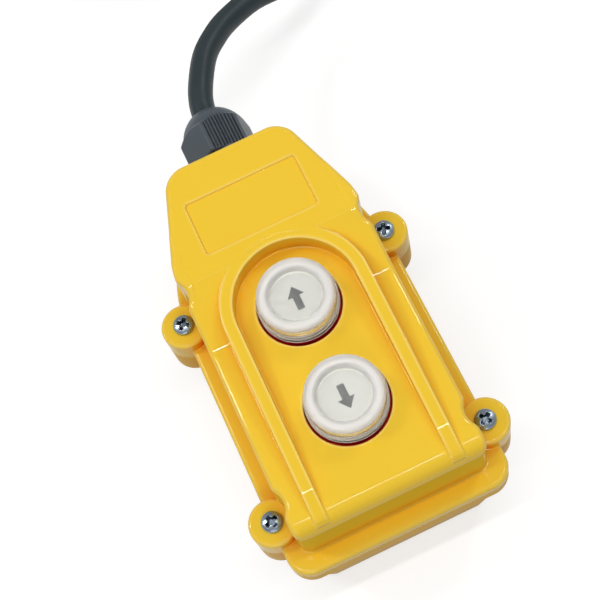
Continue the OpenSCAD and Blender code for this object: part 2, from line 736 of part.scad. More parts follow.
module gland_body() {
    color("darkslategray") along_gland() difference() {
        union() {
            translate([0, 0, -neck_wall - thread_l])
                cylinder(d = thread_d, h = neck_wall + thread_l + washer_t);
            translate([0, 0, washer_t]) rotate(hex_start)
                cylinder(r = hex_corner - 2 * gap, h = collar_l, $fn = 6);
            translate([0, 0, washer_t])
                cylinder(d = thread_d - 2 * slip, h = collar_l + nut_l - nut_lip - nut_cone - 2 * gap);
        }
        translate([0, 0, -neck_wall - thread_l - past])
            cylinder(r = cable_d / 2 + bore_gap, h = 2 * nut_l + thread_l);
        translate([0, 0, washer_t + collar_l]) cylinder(r = cable_d / 2 + seal_t + slip, h = nut_l);
    }
}
module gland_washer() {
    color("dimgray") along_gland() difference() {
        cylinder(r = hex_af / 2 - gap, h = washer_t);
        translate([0, 0, -past]) cylinder(d = thread_d + gap, h = washer_t + 2 * past);
    }
}
module gland_seal() {
    color("black") along_gland() translate([0, 0, washer_t + collar_l + gap]) difference() {
        cylinder(r = cable_d / 2 + seal_t, h = nut_l - nut_lip - nut_cone - 3 * gap);
        translate([0, 0, -past]) cylinder(r = cable_d / 2 + thread_gap, h = nut_l);
    }
}
module gland_locknut() {
    color("darkslategray") along_gland() translate([0, 0, -neck_wall - locknut_t]) difference() {
        rotate(hex_start + 30) cylinder(r = hex_corner - 2 * gap, h = locknut_t, $fn = 6);
        translate([0, 0, -past]) cylinder(d = thread_d + 2 * thread_gap, h = locknut_t + 2 * past);
    }
}

// The end of the cable inside the housing, and its four cores on their way to the terminals
module cable_tail() {
    color("darkslategray") along_gland() translate([0, 0, -neck_wall - tail_l])
        cylinder(d = cable_d, h = neck_wall + tail_l + gland_reach);
}
y_tail = y_wall - neck_wall - tail_l;
core_x = terminal_x + terminal_head_d / 2 + gap + slip;
// From the jacket's end down past the block's end and along its side to one terminal.
// The core of a near terminal takes the inner lane and the core of a far one the outer lane.
function core_route(hand, far, y_end) =
    let (side_x = block_w / 2 + 3 + far * (core_d + 2 * gap),
        x = hand * 1.4,
        z = gland_h - 1.4 + 2.8 * far)
    [[x, y_tail, z], [x * 1.6, y_tail - 5, z - 3], [hand * (10 + 3 * far), y_tail - 9, gland_h - 15 + far],
        [hand * (side_x - 2), y_tail - 15, core_h - 1], [hand * side_x, y_tail - 21, core_h - 1],
        [hand * side_x, y_end + 7, core_h - 1], [hand * side_x, y_end + 3, core_h - 0.4],
        [hand * (side_x - 0.8), y_end + 0.9, core_h], [hand * (side_x - 2.2), y_end, core_h],
        [hand * core_x, y_end, core_h]];
module core(route) {
    tube(smooth(route, 3), core_d, 6, [1, 2, 3]);
}

// Hand-set route of the cable from the gland's mouth down to the coil it is stored in
route = [[0, y_gland, gland_h], [0.7, 72, 37], [3, 78.2, 36.8], [7.8, 87.2, 35.7],
    [13.1, 93.1, 34.2], [19.2, 98.1, 32.2], [29.8, 103.6, 29], [41.6, 107, 24.5],
    [53, 111.2, 20], [61.2, 119.4, 15.6], [65.5, 131.1, 11], [66.3, 144, 7.2],
    [66.1, 156.5, 4.9], [65.3, 169, 4], [64.3, 181.4, 3.8], [63.1, 193.7, 3.8]];
// Hand-set route of the cable's end, which rests on the coil's outer ring
end_route = [[18.2, 235.6, 11.3], [7.5, 235.5, 11.2], [-2.5, 234.3, 10.6], [-12.5, 231.5, 9.2]];
coil_at = [18.2, 190.6, 0];
coil_core = 3 * cable_d;
coil_h = 2 * cable_d;
coil_edge_r = 2;
module cable() {
    color("darkslategray") tube(smooth(route, 3), cable_d, 10);
}
module cable_coil() {
    color("darkslategray") translate(coil_at) rotate_extrude()
        translate([coil_d / 2 - coil_core / 2, 0]) {
            translate([coil_edge_r, 0]) square([coil_core - 2 * coil_edge_r, coil_h]);
            translate([0, coil_edge_r]) square([coil_core, coil_h - 2 * coil_edge_r]);
            for (x = [coil_edge_r, coil_core - coil_edge_r], z = [coil_edge_r, coil_h - coil_edge_r])
                translate([x, z]) circle(coil_edge_r);
        }
}
module cable_end() {
    color("darkslategray") tube(smooth(end_route, 3), cable_d, 10);
}
// The four stripped cores spread out from the jacket's end, each with a bare copper tip
end_point = end_route[len(end_route) - 1];
end_way = unit([-15, -5, 0]);
end_side = [-end_way.y, end_way.x, 0];
function end_core(i) =
    let (k = i - 1.5, near = core_d / 2 + slip, up = i == 1 || i == 2 ? near : -near)
    [end_point + end_side * sign(k) * near + [0, 0, up],
        end_point + 7 * end_way + end_side * (k * 1.7) + [0, 0, 0.6 * up - 1.8],
        end_point + 14 * end_way + end_side * (k * 2.8) + [0, 0, core_d / 2 + 1.6 - end_point.z],
        end_point + 20 * end_way + end_side * (k * 3.2) + [0, 0, core_d / 2 - end_point.z]];
module end_cores() {
    color("sienna") for (i = [0:3])
        tube(smooth(end_core(i), 3), core_d, 8);
}
module core_tips() {
    color("peru") for (i = [0:3]) {
        p = end_core(i)[3];
        tube([p, p + 6 * unit(end_way + (i - 1.5) * 0.1 * end_side)], core_d * 0.6, 8);
    }
}

front_cover();
rear_cover();
cover_gasket();
cover_screws();
screw_inserts();
color("mistyrose") translate([0, y_up, 0]) boot();  // up_boot
color("mistyrose") translate([0, y_down, 0]) boot();  // down_boot
color("white") translate([0, y_up, 0]) cap();  // up_cap
color("white") translate([0, y_down, 0]) cap();  // down_cap
color("white") translate([0, y_up, 0]) legend();  // up_legend
color("white") translate([0, y_down, 0]) legend();  // down_legend
color("black") translate([0, y_up, 0]) plunger();  // up_plunger
color("black") translate([0, y_down, 0]) plunger();  // down_plunger
color("silver") translate([0, y_up, 0]) spring();  // up_spring
color("silver") translate([0, y_down, 0]) spring();  // down_spring
color("goldenrod") translate([0, y_up, 0]) bridge();  // up_bridge
color("goldenrod") translate([0, y_down, 0]) bridge();  // down_bridge
contact_block();
color("goldenrod") translate([0, y_up, 0]) contacts();  // up_contacts
color("goldenrod") translate([0, y_down, 0]) contacts();  // down_contacts
terminal_screws();
block_screws();
gland_body();
gland_washer();
gland_nut();
gland_seal();
gland_locknut();
cable_tail();
color("black") core(core_route(1, 0, y_up));  // common_core
color("saddlebrown") core(core_route(-1, 0, y_up));  // up_core
color("royalblue") core(core_route(-1, 1, y_down));  // down_core
color("olivedrab") core(core_route(1, 1, y_down));  // earth_core
cable();
cable_coil();
cable_end();
end_cores();
core_tips();
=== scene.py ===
"""Looks of a two-button hoist pendant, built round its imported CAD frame.

Sizes are in millimetres, as in the part's source, and MM turns them into Blender's metres.
"""

import logging
import math
from abc import ABC, abstractmethod
from dataclasses import dataclass
from enum import Enum
from functools import reduce
from typing import Callable, ClassVar, Iterable, Sequence

import bmesh
import bpy
import numpy as np
from mathutils import Matrix, Vector


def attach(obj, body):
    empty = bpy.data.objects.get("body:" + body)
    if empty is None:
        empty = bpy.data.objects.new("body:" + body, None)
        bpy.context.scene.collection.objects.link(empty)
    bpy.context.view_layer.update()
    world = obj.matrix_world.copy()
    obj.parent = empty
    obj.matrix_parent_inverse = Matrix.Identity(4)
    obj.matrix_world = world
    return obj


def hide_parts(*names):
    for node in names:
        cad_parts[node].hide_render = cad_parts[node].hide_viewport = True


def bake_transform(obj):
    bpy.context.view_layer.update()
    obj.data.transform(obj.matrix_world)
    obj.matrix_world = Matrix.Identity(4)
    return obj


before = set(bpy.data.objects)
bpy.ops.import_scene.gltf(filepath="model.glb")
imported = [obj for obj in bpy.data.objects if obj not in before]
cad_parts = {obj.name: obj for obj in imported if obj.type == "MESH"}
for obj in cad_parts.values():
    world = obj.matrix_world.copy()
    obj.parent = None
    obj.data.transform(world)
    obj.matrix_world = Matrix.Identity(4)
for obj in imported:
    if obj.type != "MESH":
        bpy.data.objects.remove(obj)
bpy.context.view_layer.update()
LOG = logging.getLogger("pendant")
MM = 0.001

# Sides of the grid cells on which the shapes are skinned, in millimetres.
FINE_CELL, QUICK_CELL, SCREW_CELL, NUT_CELL = 0.3, 0.6, 0.12, 0.2
# Skinned faces within this angle, in radians, are merged.
FLAT_ANGLE = 0.006
# Height of a bump in metres, roughness of a clear coat, and how far the painted edge highlight
# covers the colour.
BUMP_DEPTH, COAT_ROUGHNESS, HIGHLIGHT_SHARE = 0.0003, 0.05, 0.7

Array = np.ndarray
Field = Callable[[Array, Array, Array], Array]
Point = tuple[float, float, float]
Colour = tuple[float, float, float]
Profile = list[tuple[float, float]]
Node = bpy.types.Node
Piece = bpy.types.Object
Socket = bpy.types.NodeSocket


def join(a: Array, b: Array, r: float | Array) -> Array:
    """Joins two shapes, given as distances to their surfaces, with a fillet of radius r."""
    return np.maximum(r, np.minimum(a, b)) - np.hypot(np.maximum(r - a, 0), np.maximum(r - b, 0))


def meet(a: Array, b: Array, r: float | Array) -> Array:
    """Keeps what two shapes share, with their common edge rounded to radius r."""
    return np.minimum(-r, np.maximum(a, b)) + np.hypot(np.maximum(r + a, 0), np.maximum(r + b, 0))


def cut(a: Array, b: Array, r: float | Array) -> Array:
    """Cuts shape b out of shape a, with the edge rounded to radius r."""
    return meet(a, -b, r)


def all_of(*shapes: Array) -> Array:
    """Keeps what all the shapes share, with sharp edges."""
    return reduce(np.maximum, shapes)


def any_of(*shapes: Array) -> Array:
    """Joins all the shapes, with sharp creases."""
    return reduce(np.minimum, shapes)


def ease(t: Array) -> Array:
    """Smooth step from 0 to 1."""
    t = np.clip(t, 0, 1)
    return t * t * (3 - 2 * t)


@dataclass(frozen=True)
class Skin:
    """The surface of a shape: places in millimetres, outward normals and faces as quads."""

    places: Array
    normals: Array
    quads: Array


class FieldSkinner:
    """Skins the zero surface of a field that is the same on both sides of x = 0."""

    CORNERS = np.array([(i, j, k) for i in (0, 1) for j in (0, 1) for k in (0, 1)])
    EDGES = [(a, b) for a in range(8) for b in range(a + 1, 8) if bin(a ^ b).count("1") == 1]
    PLANES_AT_ONCE = 16
    PROBE = 0.01
    ROUNDS = 4
    LEAST_SLOPE, LEAST_STEP = 1e-6, 1e-9

    def __init__(self, field: Field, low: Point, high: Point, cell: float) -> None:
        """Sets up the grid.

        Args:
            field: Distance to the shape's surface, negative inside.
            low: Lowest corner of the box to search; its x is not used.
            high: Highest corner of the box to search.
            cell: Side of a grid cell.
        """
        self.field, self.cell = field, cell
        self.axes = [
            (np.arange(math.ceil(high[0] / cell) + 2) - 0.5) * cell,
            np.arange(low[1] - cell, high[1] + 2 * cell, cell),
            np.arange(low[2] - cell, high[2] + 2 * cell, cell),
        ]

    def values(self) -> Array:
        """Evaluates the field on the grid, some planes at a time.

        Returns:
            The field's values, as a block in the order x, y, z.
        """
        x, y, z = self.axes
        out = np.empty((len(x), len(y), len(z)), np.float32)
        for i in range(0, len(x), self.PLANES_AT_ONCE):
            part = x[i:i + self.PLANES_AT_ONCE, None, None]
            out[i:i + self.PLANES_AT_ONCE] = self.field(part, y[None, :, None], z[None, None, :])
        return out

    def gradient(self, p: Array) -> Array:
        """Slope of the field at points p.

        Args:
            p: The points, one in a row.

        Returns:
            The slope at each point.
        """
        out = np.empty_like(p)
        for axis in range(3):
            step = np.zeros(3)
            step[axis] = self.PROBE
            ahead, behind = (p + step).T, (p - step).T
            out[:, axis] = (self.field(*ahead) - self.field(*behind)) / (2 * self.PROBE)
        return out

    def skin(self) -> Skin:
        """Finds the surface of the half at x >= 0; its rim lies on x = 0.

        Returns:
            The surface, with its rim moved onto x = 0.
        """
        values = self.values()
        inside = values < 0
        count = sum(
            inside[i:inside.shape[0] - 1 + i, j:inside.shape[1] - 1 + j, k:inside.shape[2] - 1 + k]
            .astype(np.int8) for i, j, k in self.CORNERS)
        active = (count > 0) & (count < 8)
        at = np.argwhere(active)
        corner = np.stack([values[tuple((at + c).T)] for c in self.CORNERS], 1).astype(float)
        total, hits = np.zeros((len(at), 3)), np.zeros(len(at))
        for a, b in self.EDGES:
            crossed = (corner[:, a] < 0) != (corner[:, b] < 0)
            drop = np.where(crossed, corner[:, a] - corner[:, b], 1)
            t = np.where(crossed, corner[:, a] / drop, 0)
            place = self.CORNERS[a] + t[:, None] * (self.CORNERS[b] - self.CORNERS[a])
            total += place * crossed[:, None]
            hits += crossed
        places = (at + total / hits[:, None]) * self.cell + [axis[0] for axis in self.axes]
        rim = at[:, 0] == 0
        places[rim, 0] = 0
        for _ in range(self.ROUNDS):
            slope = self.gradient(places)
            steep = np.maximum((slope**2).sum(1), self.LEAST_SLOPE)
            step = slope * (self.field(*places.T) / steep)[:, None]
            size = np.linalg.norm(step, axis=1, keepdims=True)
            places -= step * np.minimum(1, self.cell / 2 / np.maximum(size, self.LEAST_STEP))
            places[rim, 0] = 0
        slope = self.gradient(places)
        slope[rim, 0] = 0
        normals = slope / np.linalg.norm(slope, axis=1, keepdims=True)
        return Skin(places, normals, self.quads(inside, active))

    @staticmethod
    def quads(inside: Array, active: Array) -> Array:
        """Joins the four cells round each crossed grid edge, facing outwards.

        Args:
            inside: Whether each grid point is inside the shape.
            active: Whether the surface passes through each cell.

        Returns:
            The four cells of each face, as numbers of places.
        """
        number = np.full(active.shape, -1, np.int32)
        number[active] = np.arange(active.sum())
        found = []
        for axis in range(3):
            order = (axis, (axis + 1) % 3, (axis + 2) % 3)
            n = number.transpose(order)
            core = inside.transpose(order)[:, 1:-1, 1:-1]
            i, j, k = np.nonzero(core[:-1] != core[1:])
            quad = np.stack([n[i, j, k], n[i, j + 1, k], n[i, j + 1, k + 1], n[i, j, k + 1]], 1)
            outward = core[i, j, k]
            found.append(np.where(outward[:, None], quad, quad[:, ::-1]))
        return np.concatenate(found)


def fill_mesh(name: str, places: Array, corners: Array, starts: Array) -> bpy.types.Mesh:
    """Makes a mesh from places in metres, face corners and the first corner of each face.

    Args:
        name: Name of the mesh.
        places: Places of the vertices.
        corners: Vertex of each face corner.
        starts: First corner of each face.

    Returns:
        The new mesh.
    """
    mesh = bpy.data.meshes.new(name)
    mesh.vertices.add(len(places))
    mesh.vertices.foreach_set("co", places.astype(np.float32).ravel())
    mesh.loops.add(len(corners))
    mesh.loops.foreach_set("vertex_index", corners.astype(np.int32))
    mesh.polygons.add(len(starts))
    mesh.polygons.foreach_set("loop_start", starts.astype(np.int32))
    mesh.update(calc_edges=True)
    return mesh


def read(items: bpy.types.bpy_prop_collection, key: str, kind: type, width: int = 1) -> Array:
    """Reads one attribute of many items.

    Args:
        items: The vertices, loops, faces or attribute values.
        key: Name of the attribute.
        kind: Type of the array.
        width: Number of values that each item has.

    Returns:
        The values, with a row for each item where it has more than one.
    """
    out = np.empty(len(items) * width, kind)
    items.foreach_get(key, out)
    return out.reshape(-1, width) if width > 1 else out


def merge_flats(skin: Skin) -> tuple[Array, Array, Array, Array]:
    """Dissolves the flat stretches of a skin, where faces lie within FLAT_ANGLE radians.

    Args:
        skin: The surface to simplify.

    Returns:
        Places, face corners, first corner of each face, and the normal at each corner.
    """
    starts = np.arange(len(skin.quads)) * 4
    mesh = fill_mesh("half", skin.places, skin.quads.ravel(), starts)
    layer = mesh.attributes.new("slope", "FLOAT_VECTOR", "POINT")
    layer.data.foreach_set("vector", skin.normals.astype(np.float32).ravel())
    form = bmesh.new()
    form.from_mesh(mesh)
    bmesh.ops.dissolve_limit(form, angle_limit=FLAT_ANGLE, verts=form.verts, edges=form.edges)
    form.to_mesh(mesh)
    form.free()
    places = read(mesh.vertices, "co", np.float32, 3)
    slopes = read(mesh.attributes["slope"].data, "vector", np.float32, 3)
    corners = read(mesh.loops, "vertex_index", np.int32)
    starts = read(mesh.polygons, "loop_start", np.int32)
    faces = read(mesh.polygons, "normal", np.float32, 3)
    sides = np.diff(np.append(starts, len(corners)))
    normals = slopes[corners]
    flat = np.repeat(sides > 4, sides)
    normals[flat] = np.repeat(faces, sides, axis=0)[flat]
    bpy.data.meshes.remove(mesh)
    return places, corners, starts, normals


def mirrored_piece(name: str, skin: Skin) -> Piece:
    """Builds a whole piece from the skin of its half at x >= 0.

    Args:
        name: Name of the piece.
        skin: Surface of the half, in millimetres.

    Returns:
        The new object, with the exact normals of the shape.
    """
    places, corners, starts, normals = merge_flats(skin)
    middle = np.abs(places[:, 0]) < 1e-6
    twin = np.where(middle, np.arange(len(places)), len(places) + np.cumsum(~middle) - 1)
    sides = np.diff(np.append(starts, len(corners)))
    face = np.repeat(np.arange(len(starts)), sides)
    back = 2 * starts[face] + sides[face] - 1 - np.arange(len(corners))
    flip = np.array([-1, 1, 1])
    mesh = fill_mesh(
        name,
        np.concatenate([places, places[~middle] * flip]) * MM,
        np.concatenate([corners, twin[corners[back]]]),
        np.concatenate([starts, starts + len(corners)]))
    mesh.polygons.foreach_set("use_smooth", np.ones(len(mesh.polygons), bool))
    mesh.normals_split_custom_set(np.concatenate([normals, normals[back] * flip]))
    return shown(name, mesh)


def shown(name: str, data: bpy.types.ID) -> Piece:
    """Puts new data into the scene as an object.

    Args:
        name: Name of the object.
        data: Its mesh, curve, lamp or camera.

    Returns:
        The new object.
    """
    piece = bpy.data.objects.new(name, data)
    bpy.context.scene.collection.objects.link(piece)
    return piece


def from_form(name: str, form: bmesh.types.BMesh) -> Piece:
    """Turns an edit mesh into an object, with its faces looking outwards, and frees it.

    Args:
        name: Name of the object.
        form: The edit mesh.

    Returns:
        The new object.
    """
    bmesh.ops.recalc_face_normals(form, faces=form.faces)
    mesh = bpy.data.meshes.new(name)
    form.to_mesh(mesh)
    form.free()
    return shown(name, mesh)


def lathe(name: str, profile: Profile, at: Point, sides: int) -> Piece:
    """Turns a profile about a vertical axis.

    Args:
        name: Name of the piece.
        profile: Radius and height of each point, in millimetres, with the solid on its left.
        at: Foot of the axis, in millimetres.
        sides: Number of steps round the axis.

    Returns:
        The new object.
    """
    form = bmesh.new()
    rings = []
    for r, z in profile:
        turns = [2 * math.pi * i / sides for i in range(sides)] if r > 0 else [0.0]
        places = [(at[0] + r * math.cos(a), at[1] + r * math.sin(a), at[2] + z) for a in turns]
        rings.append([form.verts.new(Vector(place) * MM) for place in places])
    for low, high in zip(rings, rings[1:] + rings[:1]):
        for i in range(sides):
            ring = [low[i % len(low)], low[(i + 1) % len(low)],
                    high[(i + 1) % len(high)], high[i % len(high)]]
            face = list(dict.fromkeys(ring))
            if len(face) > 2:
                form.faces.new(face)
    piece = from_form(name, form)
    smooth(piece.data)
    return piece


def smooth(mesh: bpy.types.Mesh, angle: float = 32.0) -> None:
    """Shades a mesh smooth, with edges over the angle, in degrees, kept sharp."""
    mesh.polygons.foreach_set("use_smooth", np.ones(len(mesh.polygons), bool))
    mesh.set_sharp_from_angle(angle=math.radians(angle))


def through(points: Sequence[Point], steps: int) -> Array:
    """Samples a smooth curve through given points, with steps between neighbours.

    Args:
        points: The points, first to last.
        steps: Number of samples from one point to the next.

    Returns:
        The samples, one in a row.
    """
    p = np.array(points, float)
    p = np.concatenate([p[:1], p, p[-1:]])
    out = []
    for a, b, c, d in zip(p, p[1:], p[2:], p[3:]):
        for t in np.arange(steps) / steps:
            out.append(0.5 * (2 * b + (c - a) * t + (2 * a - 5 * b + 4 * c - d) * t**2
                              + (3 * b - a - 3 * c + d) * t**3))
    return np.array(out + [p[-1]])


def tube(name: str, path: Array, diameter: float, bevel: int) -> Piece:
    """Makes a round curve object with closed ends.

    Args:
        name: Name of the piece.
        path: Points of the centre line, in millimetres.
        diameter: Diameter of the section, in millimetres.
        bevel: Resolution of the section.

    Returns:
        The new object.
    """
    data = bpy.data.curves.new(name, "CURVE")
    data.dimensions = "3D"
    line = data.splines.new("POLY")
    line.points.add(len(path) - 1)
    line.points.foreach_set("co", np.c_[np.asarray(path) * MM, np.ones(len(path))].ravel())
    data.bevel_depth = diameter / 2 * MM
    data.bevel_resolution = bevel
    data.use_fill_caps = True
    return shown(name, data)


class Wiring:
    """Shader nodes of one material or node group, added and linked in short calls."""

    AO_SAMPLES = 6

    def __init__(self, tree: bpy.types.NodeTree) -> None:
        """Starts on a node tree."""
        self.tree = tree

    def add(self, kind: str, props: dict | None = None, **inputs: object) -> Node:
        """Adds a node.

        Args:
            kind: Node type without its ShaderNode prefix.
            props: Settings of the node.
            **inputs: What to link or set, as for fill.

        Returns:
            The new node.
        """
        node = self.tree.nodes.new("ShaderNode" + kind)
        for key, value in (props or {}).items():
            setattr(node, key, value)
        self.fill(node, **inputs)
        return node

    def fill(self, node: Node, **inputs: object) -> None:
        """Links or sets inputs of a node, with spaces in their names written as underscores."""
        for key, value in inputs.items():
            self.put(node.inputs[key.replace("_", " ")], value)

    def put(self, socket: Socket, value: object) -> None:
        """Links a socket to another one, or sets it to a value.

        Args:
            socket: The input socket.
            value: An output socket or a value.
        """
        if isinstance(value, Socket):
            self.tree.links.new(value, socket)
        elif socket.type == "RGBA" and len(value) == 3:
            socket.default_value = (*value, 1)
        else:
            socket.default_value = value

    def group(self, tree: bpy.types.NodeTree, **inputs: object) -> bpy.types.bpy_prop_collection:
        """Adds a node group and returns its outputs."""
        return self.add("Group", {"node_tree": tree}, **inputs).outputs

    def math(self, how: str, a: object, b: object = 0.0) -> Socket:
        """Adds a math node.

        Args:
            how: The operation.
            a: First value or socket.
            b: Second value or socket.

        Returns:
            The result.
        """
        node = self.add("Math", {"operation": how})
        self.put(node.inputs[0], a)
        self.put(node.inputs[1], b)
        return node.outputs[0]

    def noise(self, at: object, scale: object, detail: float, rough: float = 0.5) -> Socket:
        """Adds a noise texture and returns its value."""
        node = self.add("TexNoise", Vector=at, Scale=scale, Detail=detail, Roughness=rough)
        return node.outputs["Fac"]

    def occlusion(self, reach: object, **props: bool) -> Socket:
        """Adds an ambient occlusion node and returns its value."""
        props = {"samples": self.AO_SAMPLES, **props}
        return self.add("AmbientOcclusion", props, Distance=reach).outputs["AO"]

    def bump(self, strength: float, height: Socket) -> Socket:
        """Adds a bump of up to BUMP_DEPTH metres and returns its normal."""
        node = self.add("Bump", Strength=strength, Distance=BUMP_DEPTH, Height=height)
        return node.outputs["Normal"]

    def span(self, value: object, low: float, high: float,
             to: tuple[float, float] = (0, 1)) -> Socket:
        """Maps a value from low..high to another span, clamped.

        Args:
            value: The socket to map.
            low: Value that goes to the start of the other span.
            high: Value that goes to its end.
            to: Start and end of the other span.

        Returns:
            The mapped value.
        """
        node = self.add("MapRange", Value=value, From_Min=low, From_Max=high,
                        To_Min=to[0], To_Max=to[1])
        return node.outputs["Result"]

    def mix(self, share: object, a: object, b: object) -> Socket:
        """Mixes two colours.

        Args:
            share: Share of the second colour, from 0 to 1.
            a: First colour or socket.
            b: Second colour or socket.

        Returns:
            The mixed colour.
        """
        node = self.add("Mix", {"data_type": "RGBA"})
        for index, value in ((0, share), (6, a), (7, b)):
            self.put(node.inputs[index], value)
        return node.outputs[2]


def srgb(red: float, green: float, blue: float) -> Colour:
    """Turns a colour as it is seen, from 0 to 255, into linear light."""
    parts = [c / 255 for c in (red, green, blue)]
    return tuple(c / 12.92 if c <= 0.04045 else ((c + 0.055) / 1.055) ** 2.4 for c in parts)


def new_material(name: str) -> tuple[bpy.types.Material, Wiring, Node]:
    """Starts a material.

    Args:
        name: Name of the material.

    Returns:
        The material, its wiring and its Principled node.
    """
    made = bpy.data.materials.new(name)
    made.use_nodes = True
    return made, Wiring(made.node_tree), made.node_tree.nodes["Principled BSDF"]


def node_group(name: str, inputs: dict[str, float],
               outputs: Iterable[str]) -> tuple[Wiring, Node, Node]:
    """Starts a shader node group.

    Args:
        name: Name of the group.
        inputs: Default value of each input.
        outputs: Names of the outputs, all values.

    Returns:
        The group's wiring, its input node and its output node.
    """
    tree = bpy.data.node_groups.new(name, "ShaderNodeTree")
    for key, value in inputs.items():
        socket = tree.interface.new_socket(key, in_out="INPUT", socket_type="NodeSocketFloat")
        socket.default_value = value
    for key in outputs:
        tree.interface.new_socket(key, in_out="OUTPUT", socket_type="NodeSocketFloat")
    return Wiring(tree), tree.nodes.new("NodeGroupInput"), tree.nodes.new("NodeGroupOutput")


class SurfaceEffects:
    """The node groups that the finishes share, each built once."""

    EDGE_REACH = 0.0009

    def __init__(self) -> None:
        """Builds the groups."""
        self.grain = self._grain()
        self.handling = self._handling()
        self.painted_light = self._painted_light()

    @staticmethod
    def _grain() -> bpy.types.NodeTree:
        """Fine moulded or drawn grain: slow mottle, fine specks and a height.

        Returns:
            The node group.
        """
        w, given, out = node_group("grain", {"Scale": 900.0}, ("Mottle", "Speck", "Height"))
        at = w.add("TexCoord").outputs["Object"]
        scale = given.outputs["Scale"]
        slow = w.noise(at, w.math("MULTIPLY", scale, 0.07), 3.0, 0.55)
        fine = w.noise(at, scale, 4.0, 0.6)
        cells = w.add("TexVoronoi", Vector=at, Scale=w.math("MULTIPLY", scale, 1.6))
        pits = cells.outputs["Distance"]
        w.fill(out, Mottle=w.span(slow, 0.3, 0.7), Speck=w.span(pits, 0.0, 0.28, (1, 0)),
               Height=w.math("ADD", fine, w.math("MULTIPLY", pits, 0.3)))
        return w.tree

    @staticmethod
    def _handling() -> bpy.types.NodeTree:
        """Traces of handling: fine scratches that run across each other, and faint smears.

        Returns:
            The node group.
        """
        w, given, out = node_group("handling", {"Scale": 60.0}, ("Scratch", "Smear"))
        at, scale = w.add("TexCoord").outputs["Object"], given.outputs["Scale"]
        lines = []
        for turn, shift in ((0.6, 0.0), (2.1, 0.31), (1.3, 0.77)):
            moved = w.add("Mapping", Vector=at, Location=(shift, shift, 0),
                          Rotation=(0.2, 0.1, turn), Scale=(1.0, 28.0, 1.0))
            lines.append(w.span(w.noise(moved.outputs["Vector"], scale, 1.0, 0.4), 0.70, 0.74))
        both = w.math("MAXIMUM", lines[0], w.math("MAXIMUM", lines[1], lines[2]))
        patch = w.span(w.noise(at, w.math("MULTIPLY", scale, 0.9), 2.0), 0.45, 0.62)
        w.fill(out, Scratch=w.math("MULTIPLY", both, patch),
               Smear=w.span(w.noise(at, scale, 3.0, 0.6), 0.4, 0.75))
        return w.tree

    @classmethod
    def _painted_light(cls) -> bpy.types.NodeTree:
        """Painted shade in creases between a piece's own walls and in deep gaps beside any piece,
        and a painted highlight on outer edges.

        Returns:
            The node group.
        """
        w, given, out = node_group("painted_light", {"Reach": 0.006}, ("Crease", "Gap", "Edge"))
        reach = given.outputs["Reach"]
        # Occlusion by the piece itself and by all pieces near it marks where shade is painted in
        # creases and gaps.
        own = w.occlusion(reach, only_local=True)
        near = w.occlusion(w.math("MULTIPLY", reach, 0.7))
        # Inside occlusion over a short reach finds outer edges for the painted highlight.
        inner = w.occlusion(cls.EDGE_REACH, only_local=True, inside=True)
        facing = w.add("SeparateXYZ", Vector=w.add("TexCoord").outputs["Normal"]).outputs["Z"]
        # The painted crease shade is full on upright walls and falls to 0.45 on level faces.
        upright = w.span(w.math("ABSOLUTE", facing), 0, 1, (1.0, 0.45))
        w.fill(out, Crease=w.math("MULTIPLY", w.span(own, 0.85, 0.35), upright),
               Edge=w.span(inner, 0.95, 0.7), Gap=w.span(near, 0.22, 0.06))
        return w.tree


@dataclass(frozen=True)
class Finish:
    """A plain finish: a colour and a shade that it drifts to, its gloss and its grain."""

    name: str
    colour: Colour
    shade: Colour
    roughness: float = 0.35
    metallic: float = 0.0
    bump: float = 0.02
    grain: float = 900.0
    drift: float = 0.35
    speck: float = 0.12
    scratch: float = 0.06
    coat: float = 0.0
    specular: float = 0.5
    # Painted shade colours for creases and deep gaps, and a painted highlight colour for outer
    # edges; unset for most finishes.
    crease: Colour | None = None
    gap: Colour | None = None
    edge: Colour | None = None
    reach: float = 0.006

    def material(self, effects: SurfaceEffects) -> bpy.types.Material:
        """Builds the material.

        Args:
            effects: The shared node groups.

        Returns:
            The new material.
        """
        made, w, skin = new_material(self.name)
        grain = w.group(effects.grain, Scale=self.grain)
        worn = w.group(effects.handling, Scale=self.grain / 12)
        drift = w.math("MULTIPLY", grain["Mottle"], self.drift)
        marked = w.math("MULTIPLY", grain["Speck"], self.speck)
        base = w.mix(w.math("MAXIMUM", drift, marked), self.colour, self.shade)
        # Painted shade in creases and deep gaps, and a painted highlight on outer edges, mixed into
        # the base colour.
        if self.crease and self.gap:
            painted_masks = w.group(effects.painted_light, Reach=self.reach)
            if self.edge:
                base = w.mix(w.math("MULTIPLY", painted_masks["Edge"], HIGHLIGHT_SHARE), base, self.edge)
            base = w.mix(painted_masks["Gap"], w.mix(painted_masks["Crease"], base, self.crease), self.gap)
        rough = w.math("ADD", w.math("MULTIPLY", worn["Scratch"], self.scratch * 3),
                       w.math("MULTIPLY", worn["Smear"], self.scratch))
        scratched = w.math("MULTIPLY", worn["Scratch"], self.scratch)
        height = w.math("SUBTRACT", grain["Height"], scratched)
        w.fill(skin, Base_Color=base, Roughness=w.math("ADD", rough, self.roughness),
               Normal=w.bump(self.bump, height), Metallic=self.metallic, Coat_Weight=self.coat,
               Coat_Roughness=COAT_ROUGHNESS, Specular_IOR_Level=self.specular)
        return made


